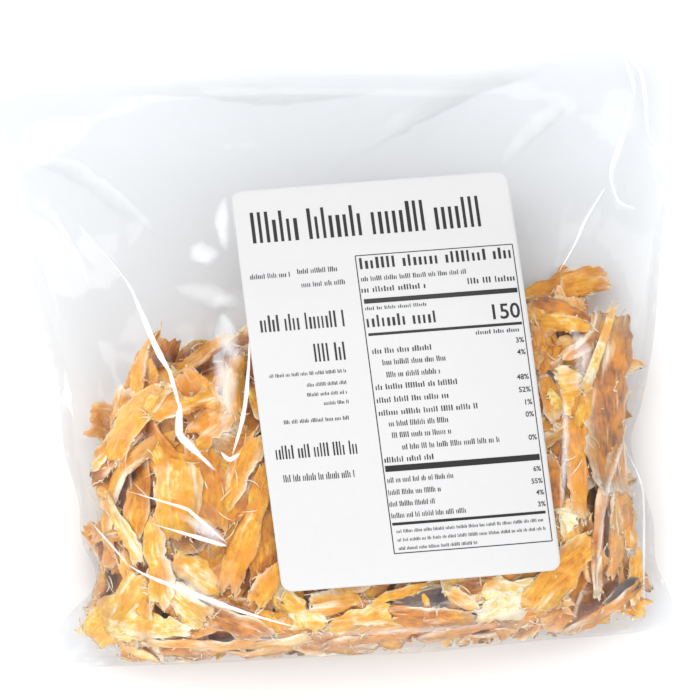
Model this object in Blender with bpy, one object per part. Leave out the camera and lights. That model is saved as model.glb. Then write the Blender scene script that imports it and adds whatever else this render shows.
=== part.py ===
"""A sealed clear film bag, part full of dried fish pieces, with a paper label, lying on its back.

Metres, +Z up. X runs across the bag and Y from its full bottom end to its sealed top edge.
The origin is the middle of the bag's footprint, on the surface that it lies on.
The bag is one closed solid, film and contents together, and the label lies on its upper face.
"""

import functools
import math

import bmesh
import bpy
from mathutils import Vector, noise
from mathutils.bvhtree import BVHTree

MM = 0.001

# The bag's outline as it lies, in mm from the middle of the flat bag, each edge as its own run of points.
# The left and right edges run upwards and the bottom and top edges run to the right.
LEFT_EDGE = (
    (-125, -108),
    (-113, -92),
    (-99, -78),
    (-103, -62),
    (-103, -48),
    (-107, -27),
    (-107, -6),
    (-111, 13),
    (-116, 36),
    (-122, 63),
    (-131, 106),
)
RIGHT_EDGE = (
    (110, -109),
    (111, -100),
    (106, -85),
    (106, -69),
    (100, -43),
    (105, -27),
    (111, -5),
    (116, 25),
    (121, 48),
    (119, 63),
    (123, 79),
    (122, 97),
)
BOTTOM_EDGE = ((-125, -108), (-69, -110), (-15, -111), (19, -112), (62, -111), (96, -111), (110, -109))
TOP_EDGE = ((-131, 106), (-77, 105), (-33, 105), (6, 102), (48, 99), (77, 102), (104, 104), (122, 97))

# Height of the edge above the table, in mm, as (share of the way along the edge, height).
LEFT_LIFT = ((0, 2.5), (0.14, 8), (0.4, 13), (0.7, 8), (1, 2.5))
RIGHT_LIFT = ((0, 3), (0.12, 10), (0.4, 14), (0.7, 8), (1, 4.5))
BOTTOM_LIFT = ((0, 2.5), (0.15, 12), (0.5, 15), (0.88, 13), (1, 3))
TOP_LIFT = ((0, 2.5), (0.35, 4), (0.6, 2), (1, 4.5))

# The full part, where the fish lies, in mm. It is higher on its left than on its right.
HEAP_CENTRE = (-4, -54)
HEAP_HALF_WIDTH = 114
HEAP_REACH_DOWN = 65
HEAP_REACH_UP = 110
HEAP_HEIGHT = 56
HEAP_SQUARENESS = 3.6
HEAP_FULLNESS = 0.62
HEAP_LEAN = -0.05

# The empty part above it, which holds a little air.
AIR_CENTRE = (-6, 32)
AIR_HALF_WIDTH = 121
AIR_HALF_LENGTH = 76
AIR_HEIGHT = 38
BLEND_HEIGHT = 9

# How far in from each edge the film takes to reach its full height, in mm.
SIDE_SLOPE = 28
BOTTOM_SLOPE = 16
TOP_SLOPE = 54
UNDER_SLOPE = 26
SEAL_BAND = 10
FILM_GAP = 0.8

# Bumps where the pieces press the film up.
LUMP_SPACING = 17
LUMP_HEIGHT = 3.4
LUMP_SEED = 4.7

# Folds in the upper film, as (points in mm, height in mm, half width in mm). A trough has a negative height.
FOLDS = (
    (((-102, 64), (-89, 46), (-78, 31), (-69, 12), (-62, -12), (-64, -25), (-52, -40)), 4.5, 6.5),
    (((-98, -54), (-83, -71), (-60, -83), (-24, -98)), 3.5, 7.0),
    (((-90, -42), (-66, -54), (-46, -66)), 3.5, 7.0),
    (((-48, 21), (-45, -8), (-43, -35)), 3.5, 6.0),
    (((81, 19), (87, 37), (97, 54)), 3.5, 6.0),
    (((110, 92), (103, 67), (101, 48)), 3.5, 6.0),
    (((96, -40), (88, -60), (83, -88)), 4.5, 6.5),
    (((104, -54), (97, -73), (94, -94)), -6.0, 7.0),
    (((-116, 81), (-94, 88), (-69, 90), (-42, 85), (-8, 69)), 3.0, 6.0),
    (((-119, 73), (-96, 63), (-75, 44)), 3.5, 8.0),
    (((21, 71), (50, 83), (81, 87), (106, 92)), 2.5, 7.0),
)

# The label, a sheet of paper 4 inches by 6 stuck to the film. Over the slope its sides lean more than its top.
LABEL_WIDTH = 101.6
LABEL_LENGTH = 152.4
LABEL_CENTRE = (15.8, -9)
LABEL_ROW_TURN = math.radians(0.2)
LABEL_SIDE_TURN = math.radians(3.3)
LABEL_CORNER = 4.0
LABEL_THICKNESS = 0.4
LABEL_GAP = 0.3
LABEL_MARGIN = (6.0, 15.0)

# How finely the faces are divided.
BAG_STEPS = (52, 44)
LABEL_STEPS = (22, 30)
FLAT_ANGLE = math.radians(0.02)
WELD = 0.00001


def clear_scene():
    for obj in list(bpy.data.objects):
        bpy.data.objects.remove(obj, do_unlink=True)


@functools.lru_cache(maxsize=None)
def between(points, share):
    """A point along a smooth curve through the points, at a share of their length."""
    points = [Vector(p) for p in points]
    lengths = [(b - a).length for a, b in zip(points, points[1:])]
    rest = min(max(share, 0.0), 1.0) * sum(lengths)
    index = 0
    while index < len(lengths) - 1 and rest > lengths[index]:
        rest -= lengths[index]
        index += 1
    before = points[max(index - 1, 0)]
    after = points[min(index + 2, len(points) - 1)]
    start, end = points[index], points[index + 1]
    u = rest / lengths[index]
    leave, arrive = (end - before) / 2, (after - start) / 2
    return (
        start * (2 * u**3 - 3 * u**2 + 1)
        + leave * (u**3 - 2 * u**2 + u)
        + end * (3 * u**2 - 2 * u**3)
        + arrive * (u**3 - u**2)
    )


def patch(left, right, bottom, top, s, t):
    """A value inside four edges, s of the way across and t of the way up."""
    corners = (
        left(0) * (1 - s) * (1 - t) + right(0) * s * (1 - t) + left(1) * (1 - s) * t + right(1) * s * t
    )
    return left(t) * (1 - s) + right(t) * s + bottom(s) * (1 - t) + top(s) * t - corners


def plan_point(s, t):
    """The place on the table, in mm, under a point of the flat bag."""
    return patch(
        lambda share: between(LEFT_EDGE, share),
        lambda share: between(RIGHT_EDGE, share),
        lambda share: between(BOTTOM_EDGE, share),
        lambda share: between(TOP_EDGE, share),
        s,
        t,
    )


def lift_at(table, share):
    """A height read smoothly from a table of shares and heights."""
    for (a, low), (b, high) in zip(table, table[1:]):
        if share <= b:
            u = (share - a) / (b - a)
            return low + (high - low) * u * u * (3 - 2 * u)
    return table[-1][1]


def edge_lift(s, t):
    """Height of the film's edges, carried across the bag."""
    return patch(
        lambda share: lift_at(LEFT_LIFT, share),
        lambda share: lift_at(RIGHT_LIFT, share),
        lambda share: lift_at(BOTTOM_LIFT, share),
        lambda share: lift_at(TOP_LIFT, share),
        s,
        t,
    )


def rounded(distance, reach, squareness):
    """Rises from 0 at an edge to 1 at reach: a straight slope at squareness 1 and a quarter circle at 2."""
    left_over = 1 - min(max(distance / reach, 0.0), 1.0)
    return (1 - left_over**squareness) ** (1 / squareness)


def smooth_step(low, high, value):
    u = min(max((value - low) / (high - low), 0.0), 1.0)
    return u * u * (3 - 2 * u)


def dome(x, y, centre, half_width, half_length, squareness, fullness):
    reach = (abs(x - centre[0]) / half_width) ** squareness + (abs(y - centre[1]) / half_length) ** squareness
    return max(1 - reach, 0.0) ** fullness


def full_height(x, y):
    """Height of the pillow that heap and air make, before the edges pull it down."""
    reach = HEAP_REACH_UP if y > HEAP_CENTRE[1] else HEAP_REACH_DOWN
    heap = HEAP_HEIGHT * dome(x, y, HEAP_CENTRE, HEAP_HALF_WIDTH, reach, HEAP_SQUARENESS, HEAP_FULLNESS)
    heap *= 1 + HEAP_LEAN * x / HEAP_HALF_WIDTH
    air = AIR_HEIGHT * dome(x, y, AIR_CENTRE, AIR_HALF_WIDTH, AIR_HALF_LENGTH, 2, 0.5)
    return (heap + air + math.sqrt((heap - air) ** 2 + BLEND_HEIGHT**2)) / 2


def edge_distances(s, t):
    """Distances in mm to the left, right, bottom and top edges."""
    width = (between(RIGHT_EDGE, t) - between(LEFT_EDGE, t)).length
    length = (between(TOP_EDGE, s) - between(BOTTOM_EDGE, s)).length
    return s * width, (1 - s) * width, t * length, (1 - t) * length - SEAL_BAND


def distance_to_fold(x, y, points):
    """(distance to the fold's line, share of the way along it)."""
    here = Vector((x, y))
    best, share = math.inf, 0.0
    for index, (start, end) in enumerate(zip(points, points[1:])):
        start, end = Vector(start), Vector(end)
        along = (here - start).dot(end - start) / (end - start).length_squared
        along = min(max(along, 0.0), 1.0)
        gap = (start.lerp(end, along) - here).length
        if gap < best:
            best, share = gap, (index + along) / (len(points) - 1)
    return best, share


def fold_height(x, y):
    total = 0.0
    for points, height, half_width in FOLDS:
        gap, share = distance_to_fold(x, y, points)
        ends = smooth_step(0, 0.15, share) * smooth_step(0, 0.15, 1 - share)
        total += height * ends * math.exp(-((gap / half_width) ** 2))
    return total


def lump_height(x, y):
    """Uneven bumps over the heap, none over the air."""
    place = Vector((x / LUMP_SPACING, y / LUMP_SPACING, LUMP_SEED))
    over_heap = 1 - smooth_step(-12, 28, y)
    return LUMP_HEIGHT * over_heap * (noise.noise(place) + 0.5 * noise.noise(place * 2))


def label_plan(across, along):
    """The place on the table under a point of the label, given as seen from above."""
    x = LABEL_CENTRE[0] + across * math.cos(LABEL_ROW_TURN) - along * math.sin(LABEL_SIDE_TURN)
    y = LABEL_CENTRE[1] + across * math.sin(LABEL_ROW_TURN) + along * math.cos(LABEL_SIDE_TURN)
    return x, y


def label_place(x, y):
    """A point of the table in the label's own directions: the reverse of label_plan."""
    dx, dy = x - LABEL_CENTRE[0], y - LABEL_CENTRE[1]
    spread = math.cos(LABEL_ROW_TURN - LABEL_SIDE_TURN)
    across = (dx * math.cos(LABEL_SIDE_TURN) + dy * math.sin(LABEL_SIDE_TURN)) / spread
    along = (-dx * math.sin(LABEL_ROW_TURN) + dy * math.cos(LABEL_ROW_TURN)) / spread
    return across, along


def outside_label(x, y):
    """0 under the label, where paper holds the film smooth, and 1 clear of it."""
    across, along = label_place(x, y)
    beyond = max(abs(across) - LABEL_WIDTH / 2, abs(along) - LABEL_LENGTH / 2)
    return smooth_step(*LABEL_MARGIN, beyond)


def smooth_top(s, t):
    """The upper film without bumps or folds."""
    x, y = plan_point(s, t)
    left, right, bottom, top = edge_distances(s, t)
    inside = (
        rounded(left, SIDE_SLOPE, 1.6)
        * rounded(right, SIDE_SLOPE, 1.6)
        * rounded(bottom, BOTTOM_SLOPE, 2)
        * rounded(top, TOP_SLOPE, 1.25)
    )
    lift = edge_lift(s, t)
    return lift + max(full_height(x, y) - lift, 0) * inside, inside


def top_point(s, t):
    x, y = plan_point(s, t)
    height, inside = smooth_top(s, t)
    relief = (lump_height(x, y) + fold_height(x, y)) * outside_label(x, y) * min(inside * 1.6, 1)
    lowest = under_height(s, t) + FILM_GAP
    return Vector((x, y, max(height + relief, lowest)))


def under_height(s, t):
    """The lower film, which lies flat on the table and turns up to the edges."""
    left, right, bottom, top = edge_distances(s, t)
    down = 1.0
    for distance in (left, right, bottom, top):
        down *= rounded(distance, UNDER_SLOPE, 1.7)
    return edge_lift(s, t) * (1 - down)


def under_point(s, t):
    x, y = plan_point(s, t)
    return Vector((x, y, under_height(s, t)))


def sheet(bm, steps, place):
    """A grid of faces, each corner moved to where place puts its share across and up."""
    made = bmesh.ops.create_grid(bm, x_segments=steps[0], y_segments=steps[1], size=0.5)
    for vert in made["verts"]:
        vert.co = place(vert.co.x + 0.5, vert.co.y + 0.5) * MM
    return made["verts"]


def close_sheets(bm):
    """Joins the rims of two sheets that lie one over the other."""
    rims = [edge for edge in bm.edges if edge.is_boundary]
    bmesh.ops.bridge_loops(bm, edges=rims)


def lower_faces(bm):
    return [face for face in bm.faces if max(v.co.z for v in face.verts) < WELD]


def finish_mesh(bm, name):
    bmesh.ops.recalc_face_normals(bm, faces=bm.faces)
    mesh = bpy.data.meshes.new(name)
    bm.to_mesh(mesh)
    bm.free()
    mesh.shade_smooth()
    mesh.set_sharp_from_angle(angle=math.radians(50))
    return mesh


def bag_mesh():
    bm = bmesh.new()
    sheet(bm, BAG_STEPS, top_point)
    sheet(bm, BAG_STEPS, under_point)
    close_sheets(bm)
    flat = lower_faces(bm)
    bmesh.ops.dissolve_limit(
        bm,
        angle_limit=FLAT_ANGLE,
        verts=list({v for face in flat for v in face.verts}),
        edges=list({e for face in flat for e in face.edges}),
    )
    return finish_mesh(bm, "bag")


def label_line(share, length):
    """Where a line of the label's grid falls, closer together at the round corners."""
    ends = ((0.0, 0.0), (0.04, 0.3), (0.08, 0.65), (0.12, 1.0))
    mirrored = min(share, 1 - share)
    if mirrored >= ends[-1][0]:
        inner = (mirrored - ends[-1][0]) / (0.5 - ends[-1][0])
        place = LABEL_CORNER + inner * (length / 2 - LABEL_CORNER)
    else:
        for (a, low), (b, high) in zip(ends, ends[1:]):
            if mirrored <= b:
                place = LABEL_CORNER * (low + (high - low) * (mirrored - a) / (b - a))
                break
    return place - length / 2 if share < 0.5 else length / 2 - place


def rounded_corner(across, along):
    """Moves the points near a corner in to the corner's round."""
    x_in = abs(across) - (LABEL_WIDTH / 2 - LABEL_CORNER)
    y_in = abs(along) - (LABEL_LENGTH / 2 - LABEL_CORNER)
    if x_in <= 0 or y_in <= 0:
        return across, along
    shrink = max(x_in, y_in) / math.hypot(x_in, y_in)
    across = math.copysign(LABEL_WIDTH / 2 - LABEL_CORNER + x_in * shrink, across)
    along = math.copysign(LABEL_LENGTH / 2 - LABEL_CORNER + y_in * shrink, along)
    return across, along


def height_over(tree, x, y):
    """Height in mm of the bag's upper face at a point of the table."""
    high_above = Vector((x, y, 200)) * MM
    hit = tree.ray_cast(high_above, Vector((0, 0, -1)))[0]
    return hit.z / MM


def drape(tree, length, plan):
    """How far the sheet reaches as seen from above, for each mm along it from its middle, both ways."""
    reached = {0: 0.0}
    for way in (1, -1):
        seen = 0.0
        for step in range(1, math.ceil(length / 2) + 2):
            here, ahead = plan(way * seen), plan(way * (seen + 1))
            rise = height_over(tree, *ahead) - height_over(tree, *here)
            seen += 1 / math.hypot(1, rise)
            reached[way * step] = way * seen
    return reached


def read_drape(reached, value):
    low = math.floor(value)
    return reached[low] + (reached[low + 1] - reached[low]) * (value - low)


def label_mesh(tree):
    rows = drape(tree, LABEL_WIDTH, lambda across: label_plan(across, 0))
    columns = drape(tree, LABEL_LENGTH, lambda along: label_plan(0, along))

    def place(s, t, above):
        across, along = rounded_corner(label_line(s, LABEL_WIDTH), label_line(t, LABEL_LENGTH))
        x, y = label_plan(read_drape(rows, across), read_drape(columns, along))
        return Vector((x, y, height_over(tree, x, y) + above))

    bm = bmesh.new()
    sheet(bm, LABEL_STEPS, lambda s, t: place(s, t, LABEL_GAP))
    sheet(bm, LABEL_STEPS, lambda s, t: place(s, t, LABEL_GAP + LABEL_THICKNESS))
    close_sheets(bm)
    return finish_mesh(bm, "label")


def material(name, colour, roughness):
    made = bpy.data.materials.new(name)
    made.use_nodes = True
    shader = made.node_tree.nodes["Principled BSDF"]
    shader.inputs["Base Color"].default_value = (*colour, 1)
    shader.inputs["Roughness"].default_value = roughness
    shader.inputs["Metallic"].default_value = 0.0
    return made


def add_object(mesh, collection, finish):
    obj = bpy.data.objects.new(mesh.name, mesh)
    obj.data.materials.append(finish)
    collection.objects.link(obj)
    return obj


def surface_tree(mesh):
    mesh.calc_loop_triangles()
    corners = [v.co.copy() for v in mesh.vertices]
    triangles = [tuple(tri.vertices) for tri in mesh.loop_triangles]
    return BVHTree.FromPolygons(corners, triangles)


def centre_on_table(objects):
    """Puts the middle of the footprint at the origin."""
    corners = [v.co for obj in objects for v in obj.data.vertices]
    middle_x = (min(c.x for c in corners) + max(c.x for c in corners)) / 2
    middle_y = (min(c.y for c in corners) + max(c.y for c in corners)) / 2
    for obj in objects:
        obj.location = (-middle_x, -middle_y, 0)


def main():
    clear_scene()
    collection = bpy.data.collections.new("bag_of_dried_fish")
    bpy.context.scene.collection.children.link(collection)
    bag = bag_mesh()
    label = label_mesh(surface_tree(bag))
    objects = [
        add_object(bag, collection, material("film_over_fish", (0.72, 0.50, 0.24), 0.15)),
        add_object(label, collection, material("label_paper", (0.92, 0.92, 0.92), 0.55)),
    ]
    centre_on_table(objects)


main()
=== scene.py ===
"""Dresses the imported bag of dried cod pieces: clear film, the fish inside it, and a printed paper label."""

import math

import bmesh
import bpy
import numpy as np
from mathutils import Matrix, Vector
from mathutils.bvhtree import BVHTree


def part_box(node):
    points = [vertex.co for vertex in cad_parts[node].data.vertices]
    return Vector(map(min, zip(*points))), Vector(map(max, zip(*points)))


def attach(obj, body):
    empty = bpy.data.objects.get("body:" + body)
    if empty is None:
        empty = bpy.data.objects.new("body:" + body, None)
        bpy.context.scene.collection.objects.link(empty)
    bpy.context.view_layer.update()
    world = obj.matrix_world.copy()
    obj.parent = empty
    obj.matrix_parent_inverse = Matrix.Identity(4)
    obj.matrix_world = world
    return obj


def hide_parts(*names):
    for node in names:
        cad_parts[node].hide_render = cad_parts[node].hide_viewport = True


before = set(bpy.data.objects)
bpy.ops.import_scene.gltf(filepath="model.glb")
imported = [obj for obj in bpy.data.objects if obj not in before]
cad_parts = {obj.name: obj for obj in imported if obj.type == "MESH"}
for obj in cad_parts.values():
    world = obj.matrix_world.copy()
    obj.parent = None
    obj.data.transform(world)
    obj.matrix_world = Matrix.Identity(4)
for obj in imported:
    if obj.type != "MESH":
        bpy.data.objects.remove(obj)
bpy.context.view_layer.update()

bl_info = {
    "name": "Bag of dried fish",
    "version": (1, 0, 0),
    "blender": (4, 5, 0),
    "location": "View3D > Sidebar > Dried fish",
    "description": "Builds the film, fish, label and stage around the packed bag",
    "category": "Object",
}

MM = 0.001
MM_PER_CM = 10

# The bag's outline as it lies, in mm from the middle of the flat bag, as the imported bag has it.
LEFT_EDGE = (
    (-125, -108), (-113, -92), (-99, -78), (-103, -62), (-103, -48), (-107, -27),
    (-107, -6), (-111, 13), (-116, 36), (-122, 63), (-131, 106),
)
RIGHT_EDGE = (
    (110, -109), (111, -100), (106, -85), (106, -69), (100, -43), (105, -27),
    (111, -5), (116, 25), (121, 48), (119, 63), (123, 79), (122, 97),
)
BOTTOM_EDGE = ((-125, -108), (-69, -110), (-15, -111), (19, -112), (62, -111), (96, -111), (110, -109))
TOP_EDGE = ((-131, 106), (-77, 105), (-33, 105), (6, 102), (48, 99), (77, 102), (104, 104), (122, 97))
OUTLINE_POINTS = 200

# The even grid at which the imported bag's heights are read: its first point and step in mm, rows and columns.
# Past the bag's edge the heights are carried on over so many steps, and all beyond that is FAR_HEIGHT.
SURVEY_START = (-140.0, -121.0)
SURVEY_STEP = 1.5
SURVEY_SIZE = (160, 184)
CARRY_ROUNDS = 30
FAR_HEIGHT = 5.0

# The heap of fish inside, in mm: the height on the table that it reaches up the bag, for places across it.
SKYLINE_X = (-108, -100, -87, -81, -75, -57, -38, 65, 95, 104)
SKYLINE_Y = (-67, -37, -12, -4, 8, 4, 9, 16, 18, 6)
# The middle and lower edge of the heap, the way over which it rises to its full height, its gap under the
# film, and the width and depth of its dips.
HEAP_MIDDLE = (-4.0, -48.0)
HEAP_BOTTOM = -107
HEAP_SLOPE = 46
HEAP_GAP = 1.2
DIP_SIZE = 21
DIP_DEPTH = 4
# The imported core: its grid, its depth under the heap's surface, its inset from the film and its outer sides.
CORE_STEPS = (70, 44)
CORE_DEPTH = 6.0
CORE_INSET = 7
CORE_SIDES = (-92, 88)
# The room that every flake keeps from the film, and the least height of the bag that one may lie in, in mm.
# Where the bag is lower than FULL_INSET_ROOM over that, flakes lie closer under the film.
FILM_CLEARANCE = 0.7
TIGHTEST_ROOM = 2.0
FULL_INSET_ROOM = 18
# A flake in too low a place is moved towards the middle of the heap, by at most so many steps of so many mm.
# Its direction counts no more than so much of its way across.
EDGE_NUDGES = 50
EDGE_NUDGE = 1.5
MOST_ACROSS = 60

# The sizes of random flakes, each drawn between two numbers: lengths in mm and angles in radians.
FLAKE_KIND = dict(
    length=(26, 62), width=(10, 25), thick=(1.6, 4.4), bend=(-1.4, 1.4), curve=(-0.9, 0.9),
    twist=(-1.2, 1.2), cup=(-1.4, 1.4), taper=(0.0, 0.4), lop=(-0.6, 0.6), wave=(1.2, 3.0),
    crumple=(0.4, 1.3), ruffle=(0.5, 2.4), torn=(0.14, 0.34), fray=(1.0, 3.2), ridge=(0.14, 0.5),
    round=(0.05, 0.45),
)
FIBRE_KIND = dict(
    thick=(0.15, 0.35), bend=(-1.2, 1.2), curve=(-1, 1), twist=(-2, 2), cup=(0, 0.1), taper=(0.6, 1.0),
    lop=(-0.9, 0.9), wave=(0, 0.3), crumple=(0, 0.1), ruffle=(0, 0.1), torn=(0, 0.1), fray=(0, 0.1),
    ridge=(0, 0.02), round=(0.3, 0.9),
)
# Steps of a flake's grid, along and across it.
TOP_STEPS = (34, 18)
OUTER_STEPS = (26, 14)
FIBRE_STEPS = (5, 1)
# The layers of random flakes: (seed, spacing and height over the core in mm, steps, mean and spread of tone).
DEEP_LAYER = (21, 11, (0.5, 2.5), (18, 12), (0.48, 0.13))
OUTER_LAYER = (22, 14, (2.5, 5.0), OUTER_STEPS, (0.6, 0.14))
FIBRE_COUNT = 380
FRAYS_ON_TOP = 40
FRAYS_BELOW = 12
CRUMB_COUNT = 170
# Painted shade: how much darker flakes turn where they lie deep in the heap, for the shade in its recesses,
# between two depths in mm.
PAINTED_DEPTH_SHADE = 0.26
PAINTED_SHADE_DEPTHS = (3.5, 13.0)
# How far under the film flakes lie, in mm: a range for the random ones, and (least, share of the depth, most)
# for the ones on top. Flesh on top is lighter by TOP_LIFT, and a tone under SKIN_TONE is skin.
INSET = (2.2, 4.4)
TOP_INSET = (0.8, 0.4, 1.8)
TOP_LIFT = 0.05
SKIN_TONE = 0.2

# The pieces that lie on top of the heap, in mm: (form, start, end, width, tone, depth under film, roll, cup).
# A tone of 0 is dark skin, 0.3 brown, 0.5 amber, 0.7 golden and 1 cream.
TOP_PIECES = (
    ("strip", (-78, 13), (-71, -12), 8, 0.6, 1.5, 0.25, 0.5),
    ("slab", (-46, 11), (-64, -9), 12, 0.52, 2, 0.35, 0.4),
    ("strip", (-42, 5), (-42, -22), 7, 0.62, 1.2, -0.3, 0.4),
    ("slab", (-91, -29), (-66, -13), 9, 0.6, 1.6, 0.3, 0.5),
    ("ruffle", (-97, -31), (-76, -26), 9, 0.66, 1.8, 0, 0.3),
    ("slab", (-99, -38), (-81, -33), 6, 0.26, 3, 0.2, 0.4),
    ("slab", (-67, -25), (-65, -61), 16, 0.66, 0.8, 0.15, 0.4),
    ("strip", (-77, -56), (-75, -86), 10, 0.7, 1.0, 0.1, 0.4),
    ("ruffle", (-73, -19), (-48, -15), 13, 0.68, 1.2, 0.1, 0.3),
    ("ruffle", (-58, -28), (-44, -21), 14, 0.5, 2.6, -0.2, 0.3),
    ("slab", (-56, -29), (-53, -57), 14, 0.46, 1.8, -0.1, 0.3),
    ("strip", (-35, -28), (-54, -57), 8, 0.6, 1.2, 0.35, 0.5),
    ("slab", (-34, -34), (-46, -58), 9, 0.3, 4, 0.2, 0.3),
    ("fibrous", (-33, -41), (-50, -80), 9, 0.58, 0.9, 0.25, 0.5),
    ("ruffle", (-68, -71), (-53, -81), 13, 0.74, 1.6, 0, 0.4),
    ("ruffle", (-79, -82), (-59, -91), 13, 0.78, 1.4, 0.1, 0.3),
    ("slab", (-106, -97), (-76, -81), 14, 0.72, 1, 0.4, 0.7),
    ("ruffle", (-97, -100), (-68, -91), 12, 0.82, 1.2, -0.2, 0.5),
    ("strip", (-40, -89), (-30, -76), 7, 0.62, 1.2, 0.2, 0.5),
    ("ruffle", (-91, -48), (-81, -70), 9, 0.74, 2, 0.1, 0.4),
    ("slab", (-89, -70), (-80, -99), 11, 0.55, 2.4, 0.1, 0.4),
    ("slab", (-64, -86), (-39, -102), 12, 0.3, 3.4, 0, 0.2),
    ("strip", (-111, -102), (-80, -104), 5, 0.74, 1, 0.1, 0.4),
    ("strip", (-80, -104), (-26, -102), 5, 0.56, 1, 0.2, 0.4),
    ("fibrous", (-84, 0), (-82, -22), 6, 0.66, 1.4, 0.3, 0.4),
    ("ruffle", (-30, -86), (-19, -100), 9, 0.74, 1.2, 0.1, 0.4),
    ("ruffle", (-21, -91), (-5, -90), 9, 0.64, 1.6, 0.1, 0.4),
    ("ruffle", (-14, -100), (6, -94), 9, 0.72, 1.2, -0.1, 0.4),
    ("slab", (-7, -89), (1, -96), 7, 0.28, 3, 0.1, 0.3),
    ("strip", (2, -92), (19, -86), 5, 0.56, 1.2, 0.4, 0.4),
    ("skin", (11, -90), (29, -93), 9, 0.16, 2.6, 0, 0.2),
    ("slab", (6, -97), (36, -98), 10, 0.34, 1.4, 0.1, 0.4),
    ("strip", (29, -88), (37, -97), 5, 0.66, 1, 0.2, 0.5),
    ("slab", (33, -88), (50, -86), 9, 0.28, 2.8, 0.1, 0.3),
    ("ruffle", (38, -98), (56, -93), 14, 0.95, 1, 0.1, 0.4),
    ("slab", (-15, -104), (21, -104), 5, 0.4, 1.2, 0.1, 0.4),
    ("slab", (18, -104), (54, -103), 6, 0.34, 1.2, 0.1, 0.4),
    ("slab", (66, 16), (96, 18), 10, 0.54, 1.2, 0.2, 0.4),
    ("slab", (66, 10), (88, 5), 6, 0.3, 2.4, 0.1, 0.4),
    ("ruffle", (68, 5), (85, 2), 8, 0.6, 2, 0.1, 0.4),
    ("stick", (104, 7), (76, -21), 3.8, 0.84, -3, 0, 0.2),
    ("slab", (96, 5), (74, -11), 7, 0.3, 1.6, 0.3, 0.5),
    ("skin", (70, -12), (73, -18), 2, 0.16, 2.6, 0.1, 0.2),
    ("ruffle", (70, -22), (81, -19), 10, 0.76, 1.4, 0.1, 0.4),
    ("sheet", (99, 2), (87, -56), 25, 0.25, 0.5, -0.1, 0.25),
    ("slab", (94, -36), (80, -91), 6, 0.36, 1, -0.3, 0.5),
    ("slab", (81, -33), (77, -63), 8, 0.54, 0.8, 0.1, 0.3),
    ("ruffle", (71, -64), (78, -67), 7, 0.95, 1, 0.1, 0.3),
    ("ruffle", (73, -68), (77, -80), 8, 0.66, 1.2, 0.1, 0.4),
    ("slab", (82, -77), (57, -97), 13, 0.58, 0.8, 0.2, 0.6),
    ("slab", (89, -55), (100, -65), 9, 0.5, 1.2, 0.1, 0.6),
    ("slab", (96, -61), (96, -79), 7, 0.46, 1.4, 0.2, 0.5),
    ("strip", (90, -73), (91, -89), 7, 0.54, 1.4, 0.1, 0.4),
    ("strip", (97, -82), (99, -99), 6, 0.64, 1, 0.1, 0.4),
    ("skin", (84, -97), (99, -94), 5, 0.03, 1.2, 0.1, 0.3),
    ("slab", (71, -102), (101, -100), 6, 0.4, 1, 0.1, 0.5),
    ("ruffle", (42, -91), (59, -91), 11, 0.92, 1, 0, 0.4),
    ("slab", (47, -98), (69, -102), 7, 0.32, 1.4, 0.1, 0.4),
    ("slab", (40, -84), (54, -84), 8, 0.26, 2.4, 0.1, 0.3),
    ("slab", (69, -45), (70, -67), 7, 0.3, 2.4, 0.1, 0.3),
    ("slab", (69, 2), (71, -31), 7, 0.42, 3, 0.1, 0.3),
)
# What sets each form apart, in the order of the sizes named here.
FORM_SIZES = ("thick", "torn", "fray", "wave", "crumple", "ruffle", "ridge", "round")
FORMS = {
    "slab": (4.2, 0.32, 2.8, 2.0, 0.65, 0.9, 0.24, 0.25),
    "strip": (3.2, 0.34, 3.0, 1.4, 0.55, 0.7, 0.30, 0.3),
    "fibrous": (3.2, 0.22, 4.0, 1.2, 0.40, 0.5, 0.55, 0.2),
    "ruffle": (2.4, 0.50, 2.6, 2.4, 1.20, 2.2, 0.20, 0.3),
    "sheet": (1.6, 0.22, 2.0, 2.0, 0.60, 1.2, 0.22, 0.2),
    "skin": (1.2, 0.40, 1.8, 1.2, 0.60, 0.9, 0.14, 0.3),
    "stick": (2.2, 0.16, 3.0, 0.5, 0.15, 0.2, 0.45, 0.2),
}

# The label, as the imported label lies.
LABEL_WIDTH = 101.6
LABEL_LENGTH = 152.4
LABEL_CENTRE = (15.8, -9)
LABEL_ROW_TURN = math.radians(0.2)
LABEL_SIDE_TURN = math.radians(3.3)
LABEL_CORNER = 4.0
LABEL_GAP = 0.35
LABEL_STEPS = (80, 120)
PRINT_RAISE = (0.02, 0.07)
STROKE_STEPS = (1, 2)
BAR_STEPS = (40, 1)
POST_STEPS = (1, 60)

# The print, in mm from the label's middle: plain bars, posts, and lines of upright strokes in the place of
# words. A bar is (left, right, height of its middle, thickness), and a post (place, foot, top, thickness).
PRINT_BARS = (
    (-9.0, 48.7, 44.9, 0.35),
    (-9.0, 48.7, -65.2, 0.35),
    (-8.0, 48.1, 26.7, 1.8),
    (-8.0, 48.1, 14.2, 1.0),
    (-8.3, 48.1, -34.6, 2.2),
    (-8.4, 47.6, -54.6, 1.0),
)
PRINT_POSTS = ((-9.0, -65.2, 44.9, 0.35), (48.7, -65.2, 44.9, 0.35))
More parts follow.
